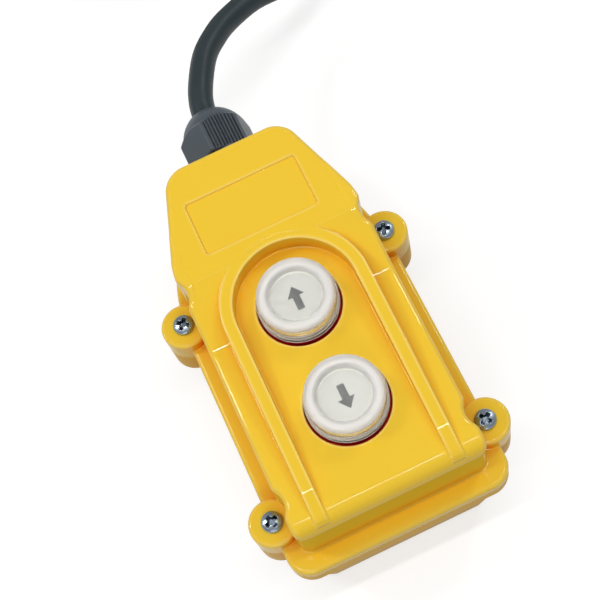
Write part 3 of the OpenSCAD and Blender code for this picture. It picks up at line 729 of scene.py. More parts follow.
@dataclass(frozen=True)
class ClearFinish:
    """A clear, slightly milky rubber that lets lamps through."""

    name: str
    tint: Colour
    clear: float
    roughness: float = 0.2
    ior: float = 1.41
    grain: float = 700.0
    bump: float = 0.04
    milky: float = 0.93
    drift: float = 0.08

    def material(self, effects: SurfaceEffects) -> bpy.types.Material:
        """Builds the material.

        Args:
            effects: The shared node groups.

        Returns:
            The new material.
        """
        made, w, skin = new_material(self.name)
        grain = w.group(effects.grain, Scale=self.grain)
        milky = tuple(c * self.milky for c in self.tint)
        rough = (self.roughness, self.roughness + self.drift)
        w.fill(skin, Base_Color=w.mix(grain["Mottle"], self.tint, milky),
               Roughness=w.span(grain["Mottle"], 0, 1, rough),
               Normal=w.bump(self.bump, grain["Height"]),
               Transmission_Weight=self.clear, IOR=self.ior)
        clear = w.add("BsdfTransparent", Color=self.tint)
        mixed = w.add("MixShader")
        shadow = w.add("LightPath").outputs["Is Shadow Ray"]
        for socket, value in zip(mixed.inputs, (shadow, skin.outputs[0], clear.outputs[0])):
            w.put(socket, value)
        w.fill(made.node_tree.nodes["Material Output"], Surface=mixed.outputs[0])
        return made


# The second and third colours are painted shade: deep orange for creases and dark red for deep gaps
# in the yellow plastic.
YELLOW, CREASE_SHADE, GAP_SHADE = srgb(244, 202, 54), srgb(247, 142, 0), srgb(96, 10, 4)
FINISHES: tuple[Finish | ClearFinish, ...] = (
    # The yellows' crease and gap colours are painted shade, and their edge colour is a painted
    # highlight.
    Finish("yellow_front", YELLOW, srgb(241, 197, 50), 0.34, bump=0.006, grain=1100, speck=0.04,
           scratch=0.015, coat=0.6, specular=0.0, crease=CREASE_SHADE, gap=GAP_SHADE,
           edge=srgb(255, 232, 150), reach=0.009),
    # The rear cover's yellow is a darker, more orange copy of the front's: painted shade for the
    # lesser light on it.
    Finish("yellow_rear_shaded", srgb(240, 186, 42), srgb(234, 178, 36), 0.4, bump=0.006, grain=1100,
           speck=0.04, scratch=0.015, coat=0.25, specular=0.0, crease=CREASE_SHADE, gap=GAP_SHADE,
           edge=srgb(250, 222, 150), reach=0.009),
    Finish("white_abs", srgb(214, 216, 214), srgb(204, 207, 206)),
    Finish("legend_white", srgb(174, 178, 179), srgb(167, 171, 172), 0.5, bump=0.03),
    Finish("arrow_grey", srgb(40, 47, 50), srgb(66, 73, 76), 0.5, bump=0.05, grain=3000,
           drift=0.8),
    # Zinc's crease and gap colours are painted shade in the screw's recess and creases.
    Finish("zinc", srgb(172, 186, 200), srgb(140, 154, 168), 0.24, 1.0, bump=0.05, grain=2600,
           drift=0.7, scratch=0.1, crease=srgb(74, 88, 108), gap=srgb(22, 30, 44)),
    Finish("brass_plain", srgb(214, 178, 98), srgb(186, 146, 74), 0.28, 1.0, bump=0.04,
           grain=2000),
    Finish("spring_steel", srgb(190, 192, 196), srgb(150, 152, 158), 0.3, 1.0, bump=0.03,
           grain=2600),
    Finish("copper_bright", srgb(214, 140, 104), srgb(178, 104, 72), 0.3, 1.0, bump=0.05,
           grain=3000),
    Finish("black_pom", srgb(38, 40, 42), srgb(28, 30, 32), 0.4),
    Finish("block_black", srgb(44, 46, 48), srgb(34, 36, 38), 0.5, bump=0.04),
    # Its crease and gap colours are painted shade in the nut's grooves and gaps.
    Finish("gland_black", srgb(70, 80, 88), srgb(60, 70, 78), 0.4, bump=0.05, grain=1400,
           scratch=0.1, crease=srgb(26, 32, 40), gap=srgb(10, 12, 16)),
    Finish("sheath", srgb(45, 56, 60), srgb(39, 48, 52), 0.42, bump=0.05, grain=1500,
           scratch=0.08, specular=0.3),
    Finish("seal_black", srgb(36, 36, 36), srgb(50, 50, 50), 0.65, bump=0.06),
    Finish("core_black", srgb(30, 30, 32), srgb(40, 40, 42), 0.4),
    Finish("core_brown", srgb(104, 62, 38), srgb(88, 50, 30), 0.4),
    Finish("core_blue", srgb(40, 90, 170), srgb(34, 76, 150), 0.4),
    Finish("core_green", srgb(70, 150, 60), srgb(60, 130, 50), 0.4),
    ClearFinish("clear_silicone", srgb(253, 251, 247), 0.96),
    ClearFinish("milky_silicone", srgb(243, 241, 238), 0.45, 0.3),
    # Dark red painted shade for the boot's foot, which lies below the panel in the hole's shadow.
    Finish("boot_foot_shade", srgb(178, 8, 10), srgb(150, 6, 8), 0.6, specular=0.1),
)


class Paints:
    """Every finish of the pendant as a Blender material."""

    def __init__(self) -> None:
        """Builds all materials from the shared effects."""
        effects = SurfaceEffects()
        self.made = {finish.name: finish.material(effects) for finish in FINISHES}

    def coat(self, piece: Piece, name: str) -> Piece:
        """Gives a new piece a material, after those it has."""
        piece.data.materials.append(self.made[name])
        return piece

    def recoat(self, node: str, name: str) -> None:
        """Replaces the material of a CAD node that stays.

        Args:
            node: Name of the node.
            name: Name of the finish.
        """
        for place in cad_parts[node].material_slots:
            place.link = "OBJECT"
            place.material = self.made[name]


@dataclass(frozen=True)
class Housing:
    """Sizes of the housing that both covers share, in millimetres."""

    length: float = 113.4
    body_w: float = 54.4
    panel_h: float = 47.0
    parting_h: float = 25.5
    wall: float = 2.4
    side_lip: float = 4.7
    end_lip: float = 5.6
    neck_lip: float = 3.6
    flange_r: float = 6.5
    shoulder_r: float = 3.0
    neck_end_w: float = 36.0
    neck_l: float = 28.5
    neck_rise: float = 6.0
    neck_r: float = 5.0
    neck_wall: float = 3.0
    screw_out: float = 3.8
    screw_pitch: float = 61.8
    screw_end: float = 16.2
    ear_d: float = 13.2
    ear_edge_r: float = 0.9
    screw_hole_d: float = 3.2
    button_pitch: float = 30.4
    button_end: float = 32.5
    gland_h: float = 37.0
    gland_reach: float = 20.4
    joint_r: float = 0.35

    @property
    def y_low(self) -> float:
        """Lower edge of the flange."""
        return -(self.length + self.gland_reach) / 2

    @property
    def y_wall(self) -> float:
        """Outer face of the neck's end wall."""
        return self.y_low + self.length

    @property
    def y_body(self) -> float:
        """Lower end wall of the body."""
        return self.y_low + self.end_lip

    @property
    def y_down(self) -> float:
        """Centre of the lower button."""
        return self.y_low + self.button_end

    @property
    def y_up(self) -> float:
        """Centre of the upper button."""
        return self.y_down + self.button_pitch

    @property
    def screw_x(self) -> float:
        """Distance of the cover screws from the middle."""
        return self.body_w / 2 + self.screw_out

    @property
    def screw_ys(self) -> tuple[float, float]:
        """Places of the cover screws along the housing."""
        low = self.y_low + self.screw_end
        return low, low + self.screw_pitch

    @property
    def neck_tan(self) -> float:
        """Slope of the neck's sides."""
        return (self.body_w - self.neck_end_w) / 2 / self.neck_l

    @property
    def neck_h(self) -> float:
        """Height of the neck's top."""
        return self.panel_h + self.neck_rise

    def neck_side(self, ax: Array, y: Array) -> Array:
        """Distance outside the neck's tapered side."""
        half = self.neck_end_w / 2 + (self.y_wall - y) * self.neck_tan
        return (ax - half) / math.hypot(1, self.neck_tan)

    def flange_plan(self, ax: Array, y: Array) -> Array:
        """Distance outside the flange's outline.

        Args:
            ax: Distance from the pendant's middle plane.
            y: Place along the pendant.

        Returns:
            The distance, negative inside.
        """
        low = meet(ax - self.body_w / 2 - self.side_lip, self.y_low - y, self.flange_r)
        neck = meet(self.neck_side(ax, y) - self.neck_lip, y - self.y_wall, self.neck_r)
        return meet(low, neck, self.shoulder_r)

    def from_screw(self, ax: Array, y: Array) -> Array:
        """Distance to the axis of the nearest cover screw."""
        return any_of(*(np.hypot(ax - self.screw_x, y - at) for at in self.screw_ys))

    def from_button(self, ax: Array, y: Array) -> Array:
        """Distance to the axis of the nearest button."""
        return any_of(*(np.hypot(ax, y - at) for at in (self.y_down, self.y_up)))


HOUSING = Housing()


class Cover(ABC):
    """One of the two moulded covers, skinned from its field and named after its CAD node."""

    node: ClassVar[str]
    finish: ClassVar[str]
    house: Housing

    @property
    @abstractmethod
    def heights(self) -> tuple[float, float]:
        """Lowest and highest point of the cover."""

    @abstractmethod
    def field(self, x: Array, y: Array, z: Array) -> Array:
        """Distance to the whole cover's surface, negative inside."""

    def build(self, paints: Paints, cell: float) -> Piece:
        """Builds and paints the cover.

        Args:
            paints: The materials.
            cell: Side of a cell of the grid that the shape is skinned on.

        Returns:
            The new piece.
        """
        h, (low, high) = self.house, self.heights
        reach = h.screw_x + h.ear_d / 2
        skinner = FieldSkinner(self.field, (0, h.y_low, low), (reach, h.y_wall, high), cell)
        piece = paints.coat(mirrored_piece(self.node + "_shell", skinner.skin()), self.finish)
        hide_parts(self.node)
        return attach(piece, "pendant")


@dataclass
class FrontCover(Cover):
    """The front cover: button panel, arched rib, ramps, neck, flange and screw ears."""

    node = "front_cover"
    finish = "yellow_front"
    house: Housing = HOUSING
    flange_t: float = 3.7
    flange_edge_r: float = 1.2
    flange_root_r: float = 0.5
    side_r: float = 1.0
    body_r: float = 3.5
    edge_r: float = 1.5
    edge_below: float = 0.5
    edge_run: float = 5.0
    bend_r: float = 4.3
    crease_r: float = 0.35
    root_r: float = 0.45
    root_below: float = 0.5
    root_run: float = 1.2
    arch_r: float = 17.1
    rib_w: float = 3.7
    rib_low: float = 1.5
    rib_level: float = 5.2
    rib_bend_gap: float = 8.5
    rib_end_h: float = 0.8
    rib_end_from: float = 12.0
    rib_end_to: float = 60.0
    rib_end_under: float = 0.3
    rib_edge_r: float = 0.4
    rib_crest_r: float = 2.0
    rib_end_r: float = 0.8
    rib_break_r: float = 0.06
    rib_root: float = 1.5
    ramp_top: float = 17.2
    ramp_foot: float = 2.3
    ridge_w: float = 3.9
    ridge_drop: float = 7.0
    ridge_fall: float = 1.0
    ridge_narrow: float = 0.45
    ridge_lean: float = 0.82
    ridge_r: float = 0.5
    ear_rise: float = 4.0
    ear_root_r: float = 0.35
    scallop_r: float = 5.3
    scallop_lip_r: float = 0.7
    hollow_r: float = 0.3
    hole_d: float = 23.1
    hole_edge_r: float = 0.45
    label_l: float = 32.9
    label_w: float = 16.6
    label_depth: float = 0.5
    label_gap: float = 11.8
    label_r: float = 0.2
    label_corner_r: float = 0.9
    gland_hole_d: float = 15.5
    gland_edge_r: float = 0.2
    lug_x: float = 20.2
    lug_r: float = 3.2
    lug_h: float = 35.2
    lug_root: float = 1.0
    lug_ys: tuple[float, float] = (-40.4, 2.0)
    pilot_r: float = 1.25
    pilot_top: float = 41.7
    bore_edge_r: float = 0.1

    @property
    def heights(self) -> tuple[float, float]:
        """Lowest and highest point of the cover."""
        return self.house.parting_h, self.house.neck_h

    def walls(self, ax: Array, y: Array) -> Array:
        """Distance outside the body's sides, neck and end wall, with the hollows at the screws.

        Args:
            ax: Distance from the pendant's middle plane.
            y: Place along the pendant.

        Returns:
            The distance, negative inside.
        """
        h = self.house
        sides = meet(ax - h.body_w / 2, h.neck_side(ax, y), self.side_r)
        sides = meet(sides, y - h.y_wall, h.neck_r)
        return meet(sides, self.scallop_r - h.from_screw(ax, y), self.scallop_lip_r)

    def arch(self, ax: Array, y: Array) -> Array:
        """Distance from the arch's centre line: a half circle with two straight legs."""
        return np.where(y > self.house.y_up, np.hypot(ax, y - self.house.y_up), ax)

    def raised(self, ax: Array, y: Array, z: Array) -> Array:
        """Distance outside the neck's top, the side ramps and the ridges beside them.

        Args:
            ax: Distance from the pendant's middle plane.
            y: Place along the pendant.
            z: Height.

        Returns:
            The distance, negative inside.
        """
        h = self.house
        foot, top = h.y_up - self.ramp_foot, h.y_up + self.ramp_top
        slope = h.neck_rise / (top - foot)
        ramp = (z - h.panel_h - slope * (y - foot)) / math.hypot(1, slope)
        level = meet(z - h.neck_h, ramp, self.crease_r)
        t = np.clip((top - y) / self.ridge_drop, 0, 1)
        ramp_h = h.panel_h + slope * (np.minimum(y, top) - foot)
        ridge_h = ramp_h - self.ridge_fall * t + (h.neck_h - ramp_h) * (1 - ease(t))
        inner = h.body_w / 2 - self.ridge_w * (1 - self.ridge_narrow * t * t)
        ridge = meet((z - ridge_h) * self.ridge_lean, inner - ax, self.ridge_r)
        return join(level, ridge, self.crease_r)

    def rib_bend(self, y: Array, z: Array) -> Array:
        """Distance outside the rib's end, where it sinks into the body's lower bend.

        Args:
            y: Place along the pendant.
            z: Height.

        Returns:
            The distance, negative inside.
        """
        h = self.house
        dy, dz = h.y_body + self.bend_r - y, z - h.panel_h + self.bend_r
        first = math.radians(self.rib_end_from)
        turn = np.degrees(np.arctan2(dy, dz))
        share = (self.rib_end_to - turn) / (self.rib_end_to - self.rib_end_from)
        sink = np.clip(share, -self.rib_end_under, 1)
        return np.where(
            turn > self.rib_end_from, np.hypot(dy, dz) - self.rib_end_h * sink,
            dy * math.sin(first) + dz * math.cos(first) - self.rib_end_h) - self.bend_r

    def rib(self, ax: Array, y: Array, z: Array) -> Array:
        """Distance outside the arched rib.

        Args:
            ax: Distance from the pendant's middle plane.
            y: Place along the pendant.
            z: Height.

        Returns:
            The distance, negative inside.
        """
        h = self.house
        far = self.arch(ax, y)
        ring = np.maximum(self.arch_r - far, far - self.arch_r - self.rib_w)
        y_line, line_h = h.y_body + self.rib_bend_gap, h.panel_h + self.rib_low
        rise = (h.neck_h - line_h) / (h.y_up + self.rib_level - y_line)
        slope = (z - line_h - rise * (y - y_line)) / math.hypot(1, rise)
        foot = Vector((self.bend_r + self.rib_end_h, 0))
        foot.rotate(Matrix.Rotation(math.pi / 2 - math.radians(self.rib_end_from), 2))
        run = y_line - h.y_body - self.bend_r + foot.x
        fall = (line_h - h.panel_h + self.bend_r - foot.y) / run
        end = (z - line_h - fall * (y - y_line)) / math.hypot(1, fall)
        crest = meet(z - h.neck_h, slope, self.rib_crest_r)
        profile = meet(crest, meet(end, self.rib_bend(y, z), self.rib_end_r), self.rib_break_r)
        return meet(ring, profile, self.rib_edge_r)

    def top(self, ax: Array, y: Array, z: Array) -> Array:
        """Distance outside the panel, the ramps and the neck.

        Args:
            ax: Distance from the pendant's middle plane.
            y: Place along the pendant.
            z: Height.

        Returns:
            The distance, negative inside.
        """
        h = self.house
        inside_arch = self.arch_r + self.rib_w / 2 - self.arch(ax, y)
        raised = meet(self.raised(ax, y, z), inside_arch, self.crease_r)
        return join(z - h.panel_h, raised, self.root_r)

    def hollow(self, ax: Array, y: Array, z: Array) -> Array:
        """Distance outside the hollow under the cover.

        Args:
            ax: Distance from the pendant's middle plane.
            y: Place along the pendant.
            z: Height.

        Returns:
            The distance, negative inside.
        """
        h = self.house
        ends = np.maximum(h.y_body + h.wall - y, y - h.y_wall + h.neck_wall)
        side = np.maximum(ax - h.body_w / 2 + h.wall, h.neck_side(ax, y) + h.wall)
        neck_from = h.y_up + self.ramp_top + self.rib_w + h.wall
        room = any_of(all_of(ends, side, z - h.panel_h + h.wall),
                      all_of(side + self.edge_r / 2, ends, neck_from - y,
                             z - h.neck_h + h.wall))
        return np.maximum(room, self.scallop_r + h.wall - h.from_screw(ax, y))

    def recess(self, ax: Array, y: Array, z: Array) -> Array:
        """Distance outside the label's recess in the neck.

        Args:
            ax: Distance from the pendant's middle plane.
            y: Place along the pendant.
            z: Height.

        Returns:
            The distance, negative inside.
        """
        h = self.house
        middle = h.y_wall - self.label_gap - self.label_w / 2
        plan = meet(ax - self.label_l / 2, np.abs(y - middle) - self.label_w / 2,
                    self.label_corner_r)
        return meet(plan, h.neck_h - self.label_depth - z, self.label_r)

    def outside(self, ax: Array, y: Array, z: Array) -> Array:
        """Distance outside the cover as a full block: body, rib, flange and ears.

        Args:
            ax: Distance from the pendant's middle plane.
            y: Place along the pendant.
            z: Height.

        Returns:
            The distance, negative inside.
        """
        h = self.house
        block = meet(self.top(ax, y, z), h.y_body - y, self.bend_r)
        below = ease((h.panel_h - self.edge_below - z) / self.edge_run)
        edge = self.edge_r + (self.body_r - self.edge_r) * below
        body = meet(self.walls(ax, y), block, edge)
        root = self.root_r * ease((h.neck_h - self.root_below - z) / self.root_run)
        body = join(body, all_of(self.rib(ax, y, z), h.panel_h - self.rib_root - z), root)
        flange_top = h.parting_h + self.flange_t
        flange = meet(h.flange_plan(ax, y), z - h.parting_h - self.flange_t, self.flange_edge_r)
        body = join(body, flange, self.flange_root_r)
        ear = meet(h.from_screw(ax, y) - h.ear_d / 2, z - (flange_top + self.ear_rise),
                   h.ear_edge_r)
        return join(body, ear, self.ear_root_r)

    def field(self, x: Array, y: Array, z: Array) -> Array:
        """Distance to the whole cover's surface, negative inside.

        Args:
            x: Place across the pendant.
            y: Place along the pendant.
            z: Height.

        Returns:
            The distance, negative inside.
        """
        h = self.house
        ax = np.abs(x)
        body = meet(self.outside(ax, y, z), h.parting_h - z, h.joint_r)
        body = cut(body, self.hollow(ax, y, z), self.hollow_r)
        lug = any_of(*(np.hypot(ax - self.lug_x, y - at) for at in self.lug_ys))
        post = all_of(lug - self.lug_r, self.lug_h - z, z - h.panel_h + self.lug_root)
        body = join(body, post, self.hollow_r)
        body = cut(body, all_of(lug - self.pilot_r, z - self.pilot_top), self.bore_edge_r)
        body = cut(body, h.from_screw(ax, y) - h.screw_hole_d / 2, self.bore_edge_r)
        body = cut(body, h.from_button(ax, y) - self.hole_d / 2, self.hole_edge_r)
        gland = np.hypot(ax, z - h.gland_h) - self.gland_hole_d / 2
        body = cut(body, all_of(gland, h.y_wall - 2 * h.neck_wall - y), self.gland_edge_r)
        return cut(body, self.recess(ax, y, z), self.label_r)


@dataclass
class RearCover(Cover):
    """The rear cover: a tapered tray with a flange, ears, gasket groove and insert bores."""

    node = "rear_cover"
    finish = "yellow_rear_shaded"
    house: Housing = HOUSING
    flange_t: float = 4.3
    flange_edge_r: float = 0.6
    flange_root_r: float = 0.4
    back_taper: float = 7.3
    end_taper: float = 2.8
    lip: float = 1.1
    corner_r: float = 2.0
    back_r: float = 0.8
    ear_drop: float = 10.0
    ear_floor: float = 1.2
    ear_root_r: float = 0.35
    hollow_r: float = 0.3
    land_t: float = 1.0
    insert_r: float = 2.4
    insert_room: float = 7.3
    gasket_t: float = 1.2
    gasket_half_w: float = 0.9
    bore_edge_r: float = 0.1

    @property
    def heights(self) -> tuple[float, float]:
        """Lowest and highest point of the cover."""
        return 0.0, self.house.parting_h

    def tray(self, ax: Array, y: Array, z: Array, inset: float) -> Array:
        """Distance outside the tapered tray, set in by an inset.

        Args:
            ax: Distance from the pendant's middle plane.
            y: Place along the pendant.
            z: Height.
            inset: How far the tray is set in.

        Returns:
            The distance, negative inside.
        """
        h = self.house
        t = 1 - z / h.parting_h
        d = inset + self.lip
        side = ax - h.body_w / 2 - h.side_lip + d + self.back_taper * t
        low = h.y_low + d + self.end_taper * t - y
        far = y - h.y_wall + inset + self.end_taper * t / 2
        neck = h.neck_side(ax, y) - h.neck_lip + d + self.back_taper * t
        steep = math.hypot(1, self.back_taper / h.parting_h)
        ends = meet(side / steep, low, self.corner_r)
        return meet(ends, meet(neck / steep, far, self.corner_r), h.shoulder_r)

    def body_plan(self, ax: Array, y: Array, side: float, wall: float) -> Array:
        """Distance outside the body's outline, set in all round.

        Args:
            ax: Distance from the pendant's middle plane.
            y: Place along the pendant.
            side: How far the sides and the lower end are set in.
            wall: How far the neck's end wall is set in.

        Returns:
            The distance, negative inside.
        """
        h = self.house
        return np.maximum(np.maximum(ax - h.body_w / 2, h.neck_side(ax, y)) + side,
                          np.maximum(h.y_body + side - y, y - h.y_wall + wall))

    def field(self, x: Array, y: Array, z: Array) -> Array:
        """Distance to the whole cover's surface, negative inside.

        Args:
            x: Place across the pendant.
            y: Place along the pendant.
            z: Height.

        Returns:
            The distance, negative inside.
        """
        h = self.house
        ax = np.abs(x)
        screw = h.from_screw(ax, y)
        body = meet(self.tray(ax, y, z, 0), -z, self.back_r)
        rim = meet(h.flange_plan(ax, y), h.parting_h - self.flange_t - z, self.flange_edge_r)
        body = join(body, rim, self.flange_root_r)
        ear = meet(screw - h.ear_d / 2, h.parting_h - self.ear_drop - z, h.ear_edge_r)
        body = meet(join(body, ear, self.ear_root_r), z - h.parting_h, h.joint_r)
        inner = self.body_plan(ax, y, h.wall, h.neck_wall)
        land = np.maximum(inner, z - h.parting_h - self.land_t)
        room = any_of(land, z - h.parting_h + self.flange_t)
        room = all_of(self.tray(ax, y, z, h.wall), h.wall - z, room)
        body = cut(body, np.maximum(room, h.ear_d / 2 - screw), self.hollow_r)
        line = self.body_plan(ax, y, 0, h.neck_wall / 2)
        hole_floor = h.parting_h - self.ear_drop + self.ear_floor
        for hole, floor in ((np.abs(line) - self.gasket_half_w, h.parting_h - self.gasket_t),
                            (screw - self.insert_r, h.parting_h - self.insert_room),
                            (screw - h.screw_hole_d / 2, hole_floor)):
            body = cut(body, np.maximum(hole, floor - z), self.bore_edge_r)
        return body


class Way(Enum):
    """Which way a button's arrow points, along the pendant."""

    UP = 1
    DOWN = -1


@dataclass
class Button:
    """One push button: clear boot, return spring, arrow, and the finishes of its other nodes."""

    KEPT: ClassVar[dict[str, str]] = {
        "cap": "white_abs", "legend": "legend_white", "plunger": "black_pom",
        "bridge": "brass_plain", "contacts": "brass_plain"}

    way: Way
    house: Housing = HOUSING
    boot_rise: float = 8.3
    boot_d: float = 21.2
    boot_flange_d: float = 26.6
    boot_flange_t: float = 1.4
    boot_t: float = 0.8
    bead_r: float = 1.2
    ridges: int = 3
    ridge_out: float = 0.5
    groove: float = 0.4
    dish_d: float = 14.4
    dish_depth: float = 2.4
    cap_d: float = 18.8
    gap: float = 0.3
    arrow_l: float = 7.0
    arrow_head_w: float = 4.75
    arrow_head_l: float = 3.0
    arrow_shaft_w: float = 2.0
    arrow_t: float = 0.1
    spring_d: float = 8.4
    spring_wire: float = 0.7
    spring_turns: float = 6.0
    spring_low: float = 33.0
    spring_high: float = 49.8
    moving_above: float = 6.5
    sides: int = 128

    @property
    def name(self) -> str:
        """Name of the button in the frame."""
        return self.way.name.lower()

    @property
    def y(self) -> float:
        """Place of the button along the pendant."""
        return self.house.y_up if self.way is Way.UP else self.house.y_down

    @property
    def dish_h(self) -> float:
        """Height of the boot's sunk middle."""
        return self.house.panel_h + self.boot_rise - self.dish_depth

    @property
    def skirt_top(self) -> float:
        """Height at which the boot's ridged skirt ends and its thick ring begins."""
        return self.house.panel_h + self.boot_rise - 2.5 * self.bead_r

    def at(self, z: float) -> Point:
        """Place on the button's axis, in metres, at a height in millimetres."""
        return 0, self.y * MM, z * MM

    def boot_profile(self) -> Profile:
        """Section of the clear boot: flange, ridged skirt, thick top ring and thin sunk middle.

        Returns:
            Radius and height of each point, with the rubber on its left.
        """
        h, r, bead = self.house, self.boot_d / 2, self.bead_r
        ceiling, low = h.panel_h - h.wall, h.panel_h - h.wall - self.boot_flange_t
        top, skirt_h = h.panel_h + self.boot_rise, self.skirt_top - h.panel_h
        cap_r, flange_r = self.cap_d / 2 + self.gap, self.boot_flange_d / 2
        line: Profile = [(cap_r, low), (flange_r - 0.2, low), (flange_r, low + 0.2),
                         (flange_r, ceiling - 0.2), (flange_r - 0.2, ceiling), (r + 0.1, ceiling)]
        steps = 8 * self.ridges
        for i in range(steps + 1):
            wave = math.cos(2 * math.pi * self.ridges * i / steps - math.pi)
            swell = self.ridge_out * wave if wave > 0 else self.groove * wave
            line.append((r + swell * min(1, i / 3), h.panel_h + skirt_h * i / steps))
        for degrees in range(-60, 91, 15):
            turn = math.radians(degrees)
            line.append((r - bead + bead * math.cos(turn), top - bead + bead * math.sin(turn)))
        rim, floor = self.dish_d / 2, self.dish_h
        under, cap_top = floor - self.boot_t, top - self.boot_t
        return line + [
            (rim + 1.3, top), (rim + 0.75, top - 0.12), (rim + 0.35, top - 0.45),
            (rim + 0.12, top - 1.0), (rim, floor + 0.45), (rim - 0.2, floor + 0.1),
            (rim - 0.6, floor), (rim - 0.75, floor), (0, floor),
            (0, under), (rim - 0.2, under), (rim, under), (rim + 0.55, under + 0.2),
            (rim + 0.75, under + 0.7), (rim + 0.8, cap_top - 0.5), (rim + 1.1, cap_top),
            (cap_r - 0.7, cap_top), (cap_r - 0.2, cap_top - 0.25), (cap_r, cap_top - 0.8)]

    def arrow(self) -> Piece:
        """Builds the arrow as a thin inlay on the legend disc.

        Returns:
            The arrow.
        """
        tip, neck = self.arrow_l / 2, self.arrow_l / 2 - self.arrow_head_l
        half, shaft = self.arrow_head_w / 2, self.arrow_shaft_w / 2
        plan = [(0, tip), (-half, neck), (-shaft, neck), (-shaft, -tip), (shaft, -tip),
                (shaft, neck), (half, neck)]
        low = self.dish_h - self.boot_t - self.gap
        form = bmesh.new()
        corners = [Vector((x, self.y + self.way.value * y, low)) * MM for x, y in plan]
        lift = Vector((0, 0, self.arrow_t * MM))
        foot = [form.verts.new(corner) for corner in corners]
        face = [form.verts.new(corner + lift) for corner in corners]
        form.faces.new(foot)
        form.faces.new(face)
        for i in range(len(plan)):
            form.faces.new((foot[i - 1], foot[i], face[i], face[i - 1]))
        return from_form(self.name + "_arrow", form)

    def spring(self) -> Piece:
        """Builds the return spring as a swept wire, with a closed turn at each end.

        Returns:
            The spring.
        """
        wire_r, turn_steps, around = self.spring_wire / 2, 28, 8
        r = (self.spring_d - self.spring_wire) / 2
        low, high = self.spring_low + wire_r, self.spring_high - wire_r
        steps = int(self.spring_turns * turn_steps)
        count = np.arange(steps + 1)
        share = np.clip((count - turn_steps / 2) / (steps - turn_steps), 0, 1)
        angle = 2 * math.pi * count / turn_steps
        out = np.c_[np.cos(angle), np.sin(angle), np.zeros(steps + 1)]
        axis = np.c_[np.zeros(steps + 1), np.full(steps + 1, self.y), low + (high - low) * share]
        ring = 2 * math.pi * (np.arange(around) + 0.5) / around
        upright = np.array([0.0, 0.0, 1.0])
        section = np.cos(ring)[None, :, None] * out[:, None] + np.sin(ring)[None, :, None] * upright
        places = (r * out + axis)[:, None] + wire_r * section
        first = np.arange(steps)[:, None] * around + np.arange(around)
        second = np.arange(steps)[:, None] * around + (np.arange(around) + 1) % around
        quads = np.stack([first, first + around, second + around, second], -1).reshape(-1, 4)
        ends = [list(range(around)), list(range(steps * around, (steps + 1) * around))[::-1]]
        mesh = bpy.data.meshes.new(self.name + "_coil_spring")
        mesh.from_pydata((places.reshape(-1, 3) * MM).tolist(), [], quads.tolist() + ends)
        smooth(mesh, 60)
        return shown(self.name + "_coil_spring", mesh)

    def coat_boot(self, boot: Piece, paints: Paints) -> None:
        """Paints the boot clear, with a milky ring round its dish and dark red painted shade on its
        foot below the panel.

        Args:
            boot: The boot.
            paints: The materials.
        """
        for finish in ("clear_silicone", "milky_silicone", "boot_foot_shade"):
            paints.coat(boot, finish)
        for face in boot.data.polygons:
            from_axis = math.hypot(face.center.x, face.center.y - self.y * MM) / MM
            height = face.center.z / MM
            # Below the panel the foot gets the dark red painted shade.
            if height < self.house.panel_h:
                face.material_index = 2
            elif height > self.skirt_top and from_axis > self.dish_d / 2 + 0.05:
                face.material_index = 1

    def build(self, paints: Paints) -> None:
        """Builds and paints the button's own pieces and the CAD nodes that stay.

        Args:
            paints: The materials.
        """
        moving, still, h = self.name + "_button", "pendant", self.house
        boot = lathe(self.name + "_clear_boot", self.boot_profile(), (0, self.y, 0), self.sides)
        self.coat_boot(boot, paints)
        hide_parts(self.name + "_boot")
        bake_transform(boot)
        spring = paints.coat(self.spring(), "spring_steel")
        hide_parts(self.name + "_spring")
        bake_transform(spring)
        arrow = paints.coat(self.arrow(), "arrow_grey")
        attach(arrow, moving)
        for node, finish in self.KEPT.items():
            paints.recoat(f"{self.name}_{node}", finish)
        LOG.info("%s button: boot, spring and arrow", self.name)


